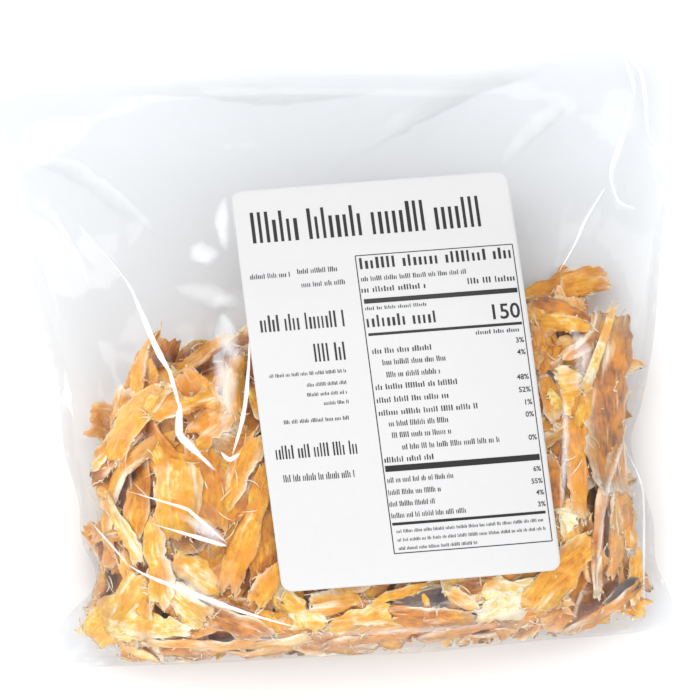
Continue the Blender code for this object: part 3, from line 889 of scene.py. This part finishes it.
def loose_fibres(bag, core, material):
    """Strands that stand off the heap all over."""
    rng = np.random.default_rng(31)
    places, normals = surface_samples(bag, core, rng, 2.0, FIBRE_COUNT)
    count = len(places)
    centre = places + normals * rng.uniform(4.0, 9.0, count)[:, None]
    ahead = headings(rng.uniform(0, math.tau, count))
    length = rng.uniform(3, 9, count)
    fibres(bag, "fish_loose_fibres", rng, centre, ahead, normals, length, (0.3, 0.7), material)


def frayed_fibres(bag, name, points, steps, each, seed, material):
    """Short strands that stand out of the torn edges of placed flakes, as one piece."""
    rng = np.random.default_rng(seed)
    form = coordinates(template(steps))
    places = zip(grid_line(form, steps), grid_line(form, steps, 1), form[:, 2])
    number = {(c, r): k for k, (c, r, side) in enumerate(places) if side > 0}
    rims = [(c, r) for c, r in number if c in (0, steps[0]) or r in (0, steps[1])]
    at_rim = np.array([number[place] for place in rims])
    half = steps[0] // 2
    inner = [number[c - 3 if c > half else c + 3, min(max(r, 1), steps[1] - 1)] for c, r in rims]
    chosen = rng.integers(0, len(rims), (len(points), each))
    rank = np.arange(len(points))[:, None]
    edge, body = points[rank, at_rim[chosen]], points[rank, np.array(inner)[chosen]]
    edge, body = edge.reshape(-1, 3), body.reshape(-1, 3)
    ahead = unit(edge - body)
    ahead = unit(ahead + rng.normal(0, 0.35, ahead.shape))
    length = 1.2 + 3.4 * rng.random(len(ahead)) ** 2
    normal = np.cross(ahead, rng.normal(0, 1, ahead.shape))
    centre = edge + ahead * length[:, None] * 0.35
    fibres(bag, name, rng, centre, ahead, normal, length, (0.3, 0.85), material)


def crumb_piece(bag, material):
    """Small crumbs that have gathered along the bottom of the bag."""
    rng = np.random.default_rng(41)
    bm = bmesh.new()
    bmesh.ops.create_icosphere(bm, subdivisions=1, radius=0.5)
    base = finished(bm, "crumb")
    form = coordinates(base)
    x = rng.uniform(-104, 100, CRUMB_COUNT)
    y = -106 + 9 * rng.random(CRUMB_COUNT) ** 1.5
    size = rng.uniform(0.7, 2.4, (CRUMB_COUNT, 1)) * rng.uniform(0.4, 1.3, (CRUMB_COUNT, 3))
    rough = 1 + 0.6 * rng.uniform(-1, 1, (CRUMB_COUNT, len(form), 1))
    low, high = bag.under.at(x, y), bag.over.at(x, y)
    z = low + (high - low) * rng.uniform(0.1, 0.95, CRUMB_COUNT)
    points = form[None] * size[:, None] * rough + np.stack([x, y, z], -1)[:, None]
    tones = rng.uniform(0.4, 1.0, CRUMB_COUNT)
    uv, edge, inset = points[..., :2] / MM_PER_CM, np.full(points.shape[:2], 0.3), np.zeros(CRUMB_COUNT)
    flakes_piece(bag, "fish_crumbs", base, points, uv, tones, edge, inset, material)


# Materials


def add_node(tree, kind, given):
    """Adds a shader node. What is given for an input is an sRGB hex colour, a value or another's output."""
    node = tree.nodes.new(kind)
    for name, value in given.items():
        if not isinstance(name, int) and name not in node.inputs:
            setattr(node, name, value)
        elif isinstance(value, bpy.types.NodeSocket):
            tree.links.new(value, node.inputs[name])
        else:
            node.inputs[name].default_value = linear(value) if isinstance(value, str) else value
    return node


def new_material(name):
    material = bpy.data.materials.new(name)
    material.use_nodes = True
    material.node_tree.nodes.clear()
    return material, material.node_tree


def surfaced(tree, shader, given):
    """Adds the shader that a material ends in, and its output."""
    node = add_node(tree, shader, given)
    add_node(tree, "ShaderNodeOutputMaterial", {"Surface": node.outputs[0]})


def point_value(tree, name):
    return add_node(tree, "ShaderNodeAttribute", {"attribute_name": name}).outputs["Fac"]


def noise(tree, place, scale, detail, roughness=0.5, distortion=0.0):
    given = {"Scale": scale, "Detail": detail, "Roughness": roughness, "Distortion": distortion}
    return add_node(tree, "ShaderNodeTexNoise", {"Vector": place, **given}).outputs["Fac"]


def bump(tree, height, strength, distance, **normal):
    given = {"Height": height, "Strength": strength, "Distance": distance, **normal}
    return add_node(tree, "ShaderNodeBump", given).outputs["Normal"]


def worked_out(tree, operation, *values, clamp=False):
    given = {"operation": operation, "use_clamp": clamp, **dict(enumerate(values))}
    return add_node(tree, "ShaderNodeMath", given).outputs[0]


def colour_ramp(tree, source, stops):
    ramp = add_node(tree, "ShaderNodeValToRGB", {"Fac": source})
    elements = ramp.color_ramp.elements
    while len(elements) < len(stops):
        elements.new(0.5)
    for element, (place, colour) in zip(elements, stops):
        element.position = place
        element.color = linear(colour)
    return ramp.outputs["Color"]


def colour_mix(tree, share, one, other):
    return add_node(tree, "ShaderNodeMix", {"data_type": "RGBA", 0: share, 6: one, 7: other}).outputs[2]


def patches(tree, place, scale, low, high, most, offset):
    """A soft mask of patches: 0 where the noise is under low, and most where it is over high."""
    moved = add_node(tree, "ShaderNodeMapping", {"Location": offset, "Vector": place}).outputs[0]
    given = {"interpolation_type": "SMOOTHSTEP", "From Min": low, "From Max": high, "To Max": most}
    return add_node(tree, "ShaderNodeMapRange", {"Value": noise(tree, moved, scale, 3.0), **given}).outputs[0]


def dried_fish_material(name, stops, amber, rosy, pale, roughness):
    """Air-dried cod: stringy along the muscle, glassy amber in patches and cream at the torn edges."""
    material, tree = new_material(name)
    uv = add_node(tree, "ShaderNodeUVMap", {"uv_map": "UVMap"}).outputs["UV"]
    # The tone value holds each flake's own tone, lowered by painted shade where the flake lies deep.
    tone, edge = (point_value(tree, field) for field in ("tone", "edge"))
    stretched = add_node(tree, "ShaderNodeMapping", {"Scale": MUSCLE_STRETCH, "Vector": uv}).outputs[0]
    fibre = noise(tree, stretched, FIBRES_PER_CM, 6.0, 0.62, 0.5)
    blotch = noise(tree, uv, BLOTCHES_PER_CM, 3.0, 0.55)
    mottle = noise(tree, uv, MOTTLES_PER_CM, 5.0, 0.65)
    mixed = tone
    for each, share in ((fibre, 0.7), (blotch, 0.75), (mottle, 0.65)):
        mixed = worked_out(tree, "MULTIPLY_ADD", each, share, mixed)
    colour = colour_ramp(tree, worked_out(tree, "SUBTRACT", mixed, 1.05), stops)
    colour = colour_mix(tree, patches(tree, uv, 0.8, 0.5, 0.66, 0.75, (7.0, 3.0, 0.0)), colour, amber)
    colour = colour_mix(tree, patches(tree, stretched, 0.55, 0.52, 0.68, 0.4, (1.0, 9.0, 4.0)), colour, rosy)
    shreds = patches(tree, stretched, 0.8, 0.56, 0.72, 1.5, (4.0, 6.0, 9.0))
    colour = colour_mix(tree, worked_out(tree, "MULTIPLY", fibre, shreds, clamp=True), colour, pale)
    torn = worked_out(tree, "MULTIPLY", worked_out(tree, "MULTIPLY", edge, fibre), 1.7, clamp=True)
    colour = colour_mix(tree, torn, colour, pale)
    coarse = bump(tree, mottle, 0.8, 0.0014)
    given = {
        "Base Color": colour,
        "Normal": bump(tree, fibre, 0.8, 0.0009, Normal=coarse),
        "Roughness": roughness,
        "IOR": 1.45,
        "Subsurface Weight": 0.3,
        "Subsurface Radius": (1.0, 0.5, 0.2),
        "Subsurface Scale": 0.0015,
    }
    surfaced(tree, "ShaderNodeBsdfPrincipled", given)
    return material


def film_material(tint, roughness):
    """Blown polyethylene film: almost clear from above, and mirrors lights in soft-edged streaks."""
    material, tree = new_material("clear_polyethylene_film")
    place = add_node(tree, "ShaderNodeTexCoord", {}).outputs["Object"]
    crinkled = bump(tree, noise(tree, place, 1 / CRINKLE_SIZE, 4.0), 0.4, 0.001)
    clear = add_node(tree, "ShaderNodeBsdfTransparent", {"Color": (*tint, 1.0)}).outputs[0]
    gloss = add_node(tree, "ShaderNodeBsdfGlossy", {"Roughness": roughness, "Normal": crinkled}).outputs[0]
    facing = add_node(tree, "ShaderNodeFresnel", {"IOR": FILM_IOR, "Normal": crinkled}).outputs[0]
    mirrored = worked_out(tree, "MINIMUM", facing, MOST_MIRRORED)
    surfaced(tree, "ShaderNodeMixShader", {0: mirrored, 1: clear, 2: gloss})
    return material


def painted_highlight_material():
    """White strips laid on the film: painted highlights and painted reflections, turning clear towards their
    rim.
    """
    material, tree = new_material("painted_film_highlights")
    # Painted highlight: a near-white colour, shown as strongly as each point's white value.
    given = {"Base Color": "#FCFDFF", "Roughness": 0.35, "IOR": 1.5, "Alpha": point_value(tree, "white")}
    surfaced(tree, "ShaderNodeBsdfPrincipled", given)
    return material


def paper_material(name, colour, other, roughness):
    """Coated paper: even, with a faint mottle and the fine tooth of its surface."""
    material, tree = new_material(name)
    place = add_node(tree, "ShaderNodeTexCoord", {}).outputs["Object"]
    mottled = colour_mix(tree, noise(tree, place, 1 / MOTTLE_SIZE, 4.0), colour, other)
    toothed = bump(tree, noise(tree, place, 1 / TOOTH_SIZE, 2.0), 0.12, 0.0001)
    given = {"Base Color": mottled, "Normal": toothed, "Roughness": roughness, "IOR": 1.45}
    surfaced(tree, "ShaderNodeBsdfPrincipled", given)
    return material


# Film


def distance_to_line(x, y, points):
    """Distance of each point to a line of points, and the share of the way along it."""
    best = np.full(x.shape, np.inf)
    share = np.zeros(x.shape)
    for index, (start, end) in enumerate(zip(points, points[1:])):
        way = end - start
        along = np.clip(((x - start[0]) * way[0] + (y - start[1]) * way[1]) / (way @ way), 0, 1)
        gap = np.hypot(x - start[0] - along * way[0], y - start[1] - along * way[1])
        nearer = gap < best
        best[nearer] = gap[nearer]
        share[nearer] = ((index + along) / (len(points) - 1))[nearer]
    return best, share


def label_distance(x, y):
    """Distance in mm outside the label, less than 0 under it."""
    dx, dy = x - LABEL_CENTRE[0], y - LABEL_CENTRE[1]
    turn = math.cos(LABEL_ROW_TURN - LABEL_SIDE_TURN)
    across = (dx * math.cos(LABEL_SIDE_TURN) + dy * math.sin(LABEL_SIDE_TURN)) / turn
    along = (-dx * math.sin(LABEL_ROW_TURN) + dy * math.cos(LABEL_ROW_TURN)) / turn
    return np.maximum(np.abs(across) - LABEL_WIDTH / 2, np.abs(along) - LABEL_LENGTH * 0.47)


def film_relief(x, y):
    """Creases, soft folds and fine crumples of the upper film, in mm."""
    total = np.zeros(x.shape)
    for points, height, half_width in CREASES:
        gap, share = distance_to_line(x, y, curve_points(points, np.linspace(0, 1, CREASE_POINTS)))
        ends = smooth_step(0, 0.12, share) * smooth_step(0, 0.12, 1 - share)
        total += height * ends * np.exp(-((gap / half_width) ** 1.4))
    over_fish = smooth_step(-14, 16, skyline(x) - y)
    folds = 1 - np.abs(wander(x / 26 + y / 40 + 5, y / 34, 31.5))
    total += (0.35 + 0.5 * over_fish) * folds**7
    crumples = 1 - np.abs(wander(x / 13 + y / 30, y / 19, 41.5))
    total += 0.3 * over_fish * crumples**6
    total += 0.45 * wander(x / 24, y / 20, 51.5)
    return total * smooth_step(1.0, 7.0, label_distance(x, y))


def film_height(bag, x, y, crease):
    return bag.over.at(x, y) + crease * film_relief(x, y) * smooth_step(0.5, 5.0, bag.room.at(x, y))


def film_piece(bag, crease, material):
    mesh = template(FILM_STEPS, "clear_film")
    form = coordinates(mesh)
    s, t, side = form[:, 0] + 0.5, form[:, 1] + 0.5, form[:, 2]
    x, y = plan_points(s, t).T
    under = bag.under.at(x, y)
    rim = np.minimum(np.minimum(s, 1 - s), np.minimum(t, 1 - t))
    lower = under + 0.15 * wander(x / 12, y / 12, 61.5) * smooth_step(0.0, 0.05, rim)
    upper = np.maximum(film_height(bag, x, y, crease), under + 0.35)
    z = np.where(side > 0, upper, np.maximum(lower, 0.0))
    set_shape(mesh, bag.to_row(np.stack([x, y, z], -1)), np.stack([s, t], -1))
    add_piece(mesh, material, "bag")


def painted_highlight_piece(bag, crease, material):
    """Thin white strips on the film as painted highlights and painted reflections, as one piece."""
    base = template(STRIP_STEPS)
    form = coordinates(base)
    column = grid_line(form, STRIP_STEPS)
    share, v = form[:, 0] + 0.5, 2 * form[:, 1]
    fades = {
        0: np.clip(3 * (1 - np.abs(v)), 0, 1),
        1: np.clip(6 * (1 - v), 0, 1) * ((1 + v) / 2) ** 1.3,
        -1: np.clip(6 * (1 + v), 0, 1) * ((1 - v) / 2) ** 1.3,
        2: (1 - v * v) ** 1.3,
    }
    # Each strip is a painted highlight along a crease or a painted reflection of a lamp.
    places, whites = [], []
    for points, width, white, peak, fade in PAINTED_HIGHLIGHT_LINES:
        line = curve_points(points, np.linspace(0, 1, STRIP_STEPS[0] + 1))
        x, y = line[column].T
        ahead_x, ahead_y = unit(np.gradient(line, axis=0))[column].T
        swell = np.sin(math.pi * np.clip(share, 1e-3, 1) ** (math.log(0.5) / math.log(peak)))
        reach = v * width / 2 * (0.12 + 0.88 * swell) * (1 + 0.35 * wander(x / 3.1, y / 3.1, 71.5))
        places.append(np.stack([x - ahead_y * reach, y + ahead_x * reach]))
        soft = fade == 2
        streaks = 0.8 + (0.8 if soft else 0.35) * wander(x / 5 + 3, y / 5 + v, 81.5)
        ends = swell**1.5 if soft else np.clip(2.2 * swell, 0, 1)
        whites.append(np.clip(white * fades[fade] * ends * streaks, 0, 1))
    x, y = np.concatenate(places, axis=1)
    low, high = STRIP_RAISE
    z = film_height(bag, x, y, crease) + np.where(np.tile(form[:, 2], len(PAINTED_HIGHLIGHT_LINES)) > 0, high, low)
    mesh = repeated(base, len(PAINTED_HIGHLIGHT_LINES), "film_painted_highlights")
    points = bag.to_row(np.stack([x, y, z], -1))
    set_shape(mesh, points, np.stack([x, y], -1) / MM_PER_CM, white=np.concatenate(whites))
    add_piece(mesh, material, "bag")


# Label


def label_plan(across, along):
    """The place on the table under a point of the label, given as seen from above."""
    x = LABEL_CENTRE[0] + across * math.cos(LABEL_ROW_TURN) - along * math.sin(LABEL_SIDE_TURN)
    y = LABEL_CENTRE[1] + across * math.sin(LABEL_ROW_TURN) + along * math.cos(LABEL_SIDE_TURN)
    return x, y


def drape(bag, length, plan):
    """Sizes along the sheet and the same as seen from above, both ways from its middle."""
    sheet, seen = [0.0], [0.0]
    for way in (1, -1):
        reach = 0.0
        for step in range(1, math.ceil(length / 2) + 2):
            here, ahead = np.array(plan(way * reach)), np.array(plan(way * (reach + 1)))
            reach += 1 / math.hypot(1, bag.over.at(*ahead) - bag.over.at(*here))
            sheet.append(float(way * step))
            seen.append(way * reach)
    order = np.argsort(sheet)
    return np.array(sheet)[order], np.array(seen)[order]


class Label:
    """Places on the label, given in mm from its middle, as it lies on the film."""

    def __init__(self, bag, thickness):
        self.bag, self.thickness = bag, thickness
        self.rows = drape(bag, LABEL_WIDTH, lambda across: label_plan(across, 0))
        self.columns = drape(bag, LABEL_LENGTH, lambda along: label_plan(0, along))

    def points(self, across, along, above):
        """Points in metres in the frame, some mm above the film."""
        x, y = label_plan(np.interp(across, *self.rows), np.interp(along, *self.columns))
        return self.bag.to_row(np.stack([x, y, self.bag.over.at(x, y) + above], -1))

    def paper(self, across, along, side):
        """Points of the paper's two faces, the upper one where the side is over 0."""
        return self.points(across, along, LABEL_GAP + np.where(side > 0, self.thickness, 0.0))

    def ink(self, across, along, side):
        """Points of the ink's two faces, the upper one where the side is over 0."""
        low, high = PRINT_RAISE
        return self.points(across, along, LABEL_GAP + self.thickness + np.where(side > 0, high, low))


def rounded_corner(across, along):
    """Moves the points near a corner in to the corner's round."""
    half_width, half_length = LABEL_WIDTH / 2 - LABEL_CORNER, LABEL_LENGTH / 2 - LABEL_CORNER
    x_in, y_in = np.abs(across) - half_width, np.abs(along) - half_length
    corner = (x_in > 0) & (y_in > 0)
    shrink = np.where(corner, np.maximum(x_in, y_in) / np.maximum(np.hypot(x_in, y_in), 1e-6), 1)
    across = np.where(corner, np.sign(across) * (half_width + x_in * shrink), across)
    along = np.where(corner, np.sign(along) * (half_length + y_in * shrink), along)
    return across, along


def label_piece(label, material):
    mesh = template(LABEL_STEPS, "paper_label")
    form = coordinates(mesh)
    across, along = rounded_corner(form[:, 0] * LABEL_WIDTH, form[:, 1] * LABEL_LENGTH)
    set_shape(mesh, label.paper(across, along, form[:, 2]), np.stack([across, along], -1) / MM_PER_CM)
    add_piece(mesh, material, "label")


def stroke_boxes():
    """The upright strokes of every line, as (left, right, foot, top), grouped by gaps as words are."""
    rng = np.random.default_rng(17)
    boxes = []
    for left, right, foot, height, width in PRINT_LINES:
        place = left
        word = rng.integers(SHORTEST_WORD, LONGEST_WORD)
        while place + width <= right:
            top = foot + height * (LOW_STROKE + (1 - LOW_STROKE) * (rng.random() < TALL_SHARE))
            boxes.append((place, place + width * rng.uniform(0.8, 1.15), foot, top))
            word -= 1
            place += width * STROKE_PITCH * (1.0 if word else 2.0)
            word = word or rng.integers(SHORTEST_WORD, LONGEST_WORD)
    return boxes


def print_piece(label, name, steps, boxes, material):
    """Thin ink on the paper, one box for each (left, right, foot, top) in mm."""
    base = template(steps)
    form = coordinates(base)
    left, right, foot, top = np.array(boxes).T[..., None]
    across = (left + (right - left) * (form[:, 0] + 0.5)).ravel()
    along = (foot + (top - foot) * (form[:, 1] + 0.5)).ravel()
    mesh = repeated(base, len(boxes), name)
    points = label.ink(across, along, np.tile(form[:, 2], len(boxes)))
    set_shape(mesh, points, np.stack([across, along], -1) / MM_PER_CM)
    mesh.shade_flat()
    add_piece(mesh, material, "label")


def number_piece(label, material):
    """The plain numbers of the table, thin on the paper, as one piece."""
    bm = bmesh.new()
    for text, foot, height in PRINT_NUMBERS:
        curve = bpy.data.curves.new("number", "FONT")
        curve.body = text
        curve.extrude = 0.5
        curve.offset = 0.012
        curve.resolution_u = 3
        holder = bpy.data.objects.new("number", curve)
        mesh = bpy.data.meshes.new_from_object(holder)
        form = coordinates(mesh)
        form[:, :2] *= height / form[:, 1].max()
        across, along = form[:, 0] + NUMBERS_RIGHT - form[:, 0].max(), form[:, 1] + foot
        fill(mesh.vertices, "co", label.ink(across, along, form[:, 2]))
        bm.from_mesh(mesh)
        bpy.data.objects.remove(holder)
        bpy.data.curves.remove(curve)
        bpy.data.meshes.remove(mesh)
    bmesh.ops.remove_doubles(bm, verts=bm.verts, dist=1e-6)
    joined = finished(bm, "label_print_numbers")
    joined.materials.clear()
    add_piece(joined, material, "label")


# Stage


def add_light(name, place, size, power):
    """A soft box that faces the middle of the bag."""
    data = bpy.data.lights.new(name, "AREA")
    data.shape = "RECTANGLE"
    data.size, data.size_y = size
    data.energy = power
    light = linked(name, data)
    light.location = place
    light.rotation_euler = (-Vector(place)).to_track_quat("-Z", "Y").to_euler()


def add_floor(colour):
    bm = bmesh.new()
    bmesh.ops.create_grid(bm, x_segments=1, y_segments=1, size=1.5)
    material, tree = new_material("pale_floor")
    surfaced(tree, "ShaderNodeBsdfPrincipled", {"Base Color": (*colour, 1.0), "Roughness": 0.8})
    floor = linked("floor", finished(bm, "floor"))
    floor.data.materials.append(material)
    floor.location.z = -0.0005


def add_camera(bag):
    data = bpy.data.cameras.new("camera")
    data.sensor_width = SENSOR
    data.lens = SENSOR * (CAMERA_HEIGHT - SEAM_HEIGHT) / VIEW_WIDTH
    camera = linked("camera", data)
    x, y, _ = bag.to_row((0, 0, 0))
    camera.location = (x, y, CAMERA_HEIGHT)
    camera.rotation_euler = (0, 0, -VIEW_TURN)
    bpy.context.scene.camera = camera


def add_world():
    world = bpy.data.worlds.new("studio")
    world.use_nodes = True
    background = world.node_tree.nodes["Background"].inputs
    background["Color"].default_value = linear("#FFFFFF")
    background["Strength"].default_value = WORLD_LIGHT
    bpy.context.scene.world = world
    bpy.context.scene.view_settings.view_transform = "Standard"


bag_shape = None


def shared_bag():
    global bag_shape
    if bag_shape is None:
        bag_shape = Bag()
    return bag_shape


def colour_setting(name, description, default):
    colour = linear(default)[:3]
    return bpy.props.FloatVectorProperty(
        name=name, description=description, subtype="COLOR", size=3, min=0.0, max=1.0, default=colour
    )


class DriedFishContents(bpy.types.PropertyGroup):
    """Numbers and colours of the fish pieces"""

    deep_count: bpy.props.IntProperty(
        name="Deep pieces", description="Pieces packed low in the heap", default=130, min=1, max=150
    )
    outer_count: bpy.props.IntProperty(
        name="Outer pieces", description="Random pieces near the film", default=112, min=1, max=130
    )
    amber: colour_setting("Amber", "Glassy thick flesh", "#EA961A")
    rosy: colour_setting("Rosy brown", "Flesh near the skin", "#B8703A")
    torn: colour_setting("Torn edges", "Frayed edges and loose fibres", "#FFF2D6")


class DriedFishFilm(bpy.types.PropertyGroup):
    """Look of the clear film"""

    tint: colour_setting("Tint", "What light keeps when it passes the film once", "#FAFBFC")
    roughness: bpy.props.FloatProperty(
        name="Roughness", description="How soft the film's reflections are", default=0.12, min=0.0, max=1.0
    )
    crease: bpy.props.FloatProperty(
        name="Creases", description="How high the creases stand", default=1.0, min=0.0, max=2.0
    )


class DriedFishLabel(bpy.types.PropertyGroup):
    """Thickness and colours of the label"""

    thickness: bpy.props.FloatProperty(
        name="Thickness", description="Thickness of the paper", default=0.00025, min=0.0001, max=0.0004,
        unit="LENGTH",
    )
    paper: colour_setting("Paper", "Coated white paper", "#C4C4C5")
    ink: colour_setting("Ink", "Black print", "#0E0D0F")


class DriedFishStage(bpy.types.PropertyGroup):
    """Floor and lights"""

    floor: colour_setting("Floor", "Plain floor", "#E5E5E5")
    light: bpy.props.FloatProperty(
        name="Light", description="Strength of all the lamps", default=1.0, min=0.1, max=3.0
    )


class DRIEDFISH_OT_fish(bpy.types.Operator):
    """Build the dried fish inside the bag"""

    bl_idname = "driedfish.fish"
    bl_label = "Fish pieces"

    def execute(self, context):
        settings = context.scene.driedfish_contents
        bag = shared_bag()
        colours = [(*colour, 1.0) for colour in (settings.amber, settings.rosy, settings.torn)]
        flesh = dried_fish_material("air_dried_cod_flesh", FLESH_STOPS, *colours, 0.35)
        skin = dried_fish_material("air_dried_cod_skin", SKIN_STOPS, *SKIN_PATCHES, 0.33)
        core = core_mesh(bag)
        add_piece(core, flesh, "bag")
        scattered_flakes(bag, core, "fish_flakes_deep", flesh, settings.deep_count, DEEP_LAYER)
        outer = scattered_flakes(bag, core, "fish_flakes_outer", flesh, settings.outer_count, OUTER_LAYER)
        top = top_pieces(bag, flesh, skin)
        frayed_fibres(bag, "fish_frayed_top", top, TOP_STEPS, FRAYS_ON_TOP, 51, flesh)
        frayed_fibres(bag, "fish_frayed_outer", outer, OUTER_STEPS, FRAYS_BELOW, 52, flesh)
        loose_fibres(bag, core, flesh)
        crumb_piece(bag, flesh)
        return {"FINISHED"}


class DRIEDFISH_OT_film(bpy.types.Operator):
    """Build the clear film of the bag"""

    bl_idname = "driedfish.film"
    bl_label = "Film"

    def execute(self, context):
        settings = context.scene.driedfish_film
        film_piece(shared_bag(), settings.crease, film_material(settings.tint, settings.roughness))
        # Painted highlights and painted reflections on the film, as white strips.
        painted_highlight_piece(shared_bag(), settings.crease, painted_highlight_material())
        return {"FINISHED"}


class DRIEDFISH_OT_label(bpy.types.Operator):
    """Build the paper label and its plain print"""

    bl_idname = "driedfish.label"
    bl_label = "Label"

    def execute(self, context):
        settings = context.scene.driedfish_label
        label = Label(shared_bag(), settings.thickness / MM)
        paper = (*settings.paper, 1.0)
        whiter = tuple(min(part * 1.04, 1.0) for part in paper)
        label_piece(label, paper_material("coated_label_paper", paper, whiter, 0.5))
        ink = paper_material("black_printing_ink", (*settings.ink, 1.0), "#1C1B1D", 0.45)
        print_piece(label, "label_print_strokes", STROKE_STEPS, stroke_boxes(), ink)
        bars = [(left, right, y - high / 2, y + high / 2) for left, right, y, high in PRINT_BARS]
        print_piece(label, "label_print_bars", BAR_STEPS, bars, ink)
        posts = [(x - wide / 2, x + wide / 2, foot, top) for x, foot, top, wide in PRINT_POSTS]
        print_piece(label, "label_print_posts", POST_STEPS, posts, ink)
        number_piece(label, ink)
        return {"FINISHED"}


class DRIEDFISH_OT_stage(bpy.types.Operator):
    """Build the floor, lights and camera"""

    bl_idname = "driedfish.stage"
    bl_label = "Stage"

    def execute(self, context):
        settings = context.scene.driedfish_stage
        add_floor(settings.floor)
        add_camera(shared_bag())
        for name, place, size, power in LAMPS:
            add_light(name, place, size, power * settings.light)
        add_world()
        return {"FINISHED"}


# Each operator, with the name and the class of its settings.
BUILT = (
    (DRIEDFISH_OT_fish, "driedfish_contents", DriedFishContents),
    (DRIEDFISH_OT_film, "driedfish_film", DriedFishFilm),
    (DRIEDFISH_OT_label, "driedfish_label", DriedFishLabel),
    (DRIEDFISH_OT_stage, "driedfish_stage", DriedFishStage),
)


class DRIEDFISH_PT_panel(bpy.types.Panel):
    """Lists what can be built and what can be changed before that"""

    bl_label = "Dried fish"
    bl_idname = "DRIEDFISH_PT_panel"
    bl_space_type = "VIEW_3D"
    bl_region_type = "UI"
    bl_category = "Dried fish"

    def draw(self, context):
        for operator, name, _ in BUILT:
            box = self.layout.box()
            settings = getattr(context.scene, name)
            for field in settings.bl_rna.properties.keys():
                if field not in ("rna_type", "name"):
                    box.prop(settings, field)
            box.operator(operator.bl_idname)


def register():
    for operator, name, group in BUILT:
        bpy.utils.register_class(group)
        setattr(bpy.types.Scene, name, bpy.props.PointerProperty(type=group))
        bpy.utils.register_class(operator)
    bpy.utils.register_class(DRIEDFISH_PT_panel)


def unregister():
    bpy.utils.unregister_class(DRIEDFISH_PT_panel)
    for operator, name, group in reversed(BUILT):
        bpy.utils.unregister_class(operator)
        delattr(bpy.types.Scene, name)
        bpy.utils.unregister_class(group)


def main():
    register()
    bpy.ops.driedfish.fish()
    bpy.ops.driedfish.film()
    bpy.ops.driedfish.label()
    bpy.ops.driedfish.stage()


if __name__ == "__main__":
    main()
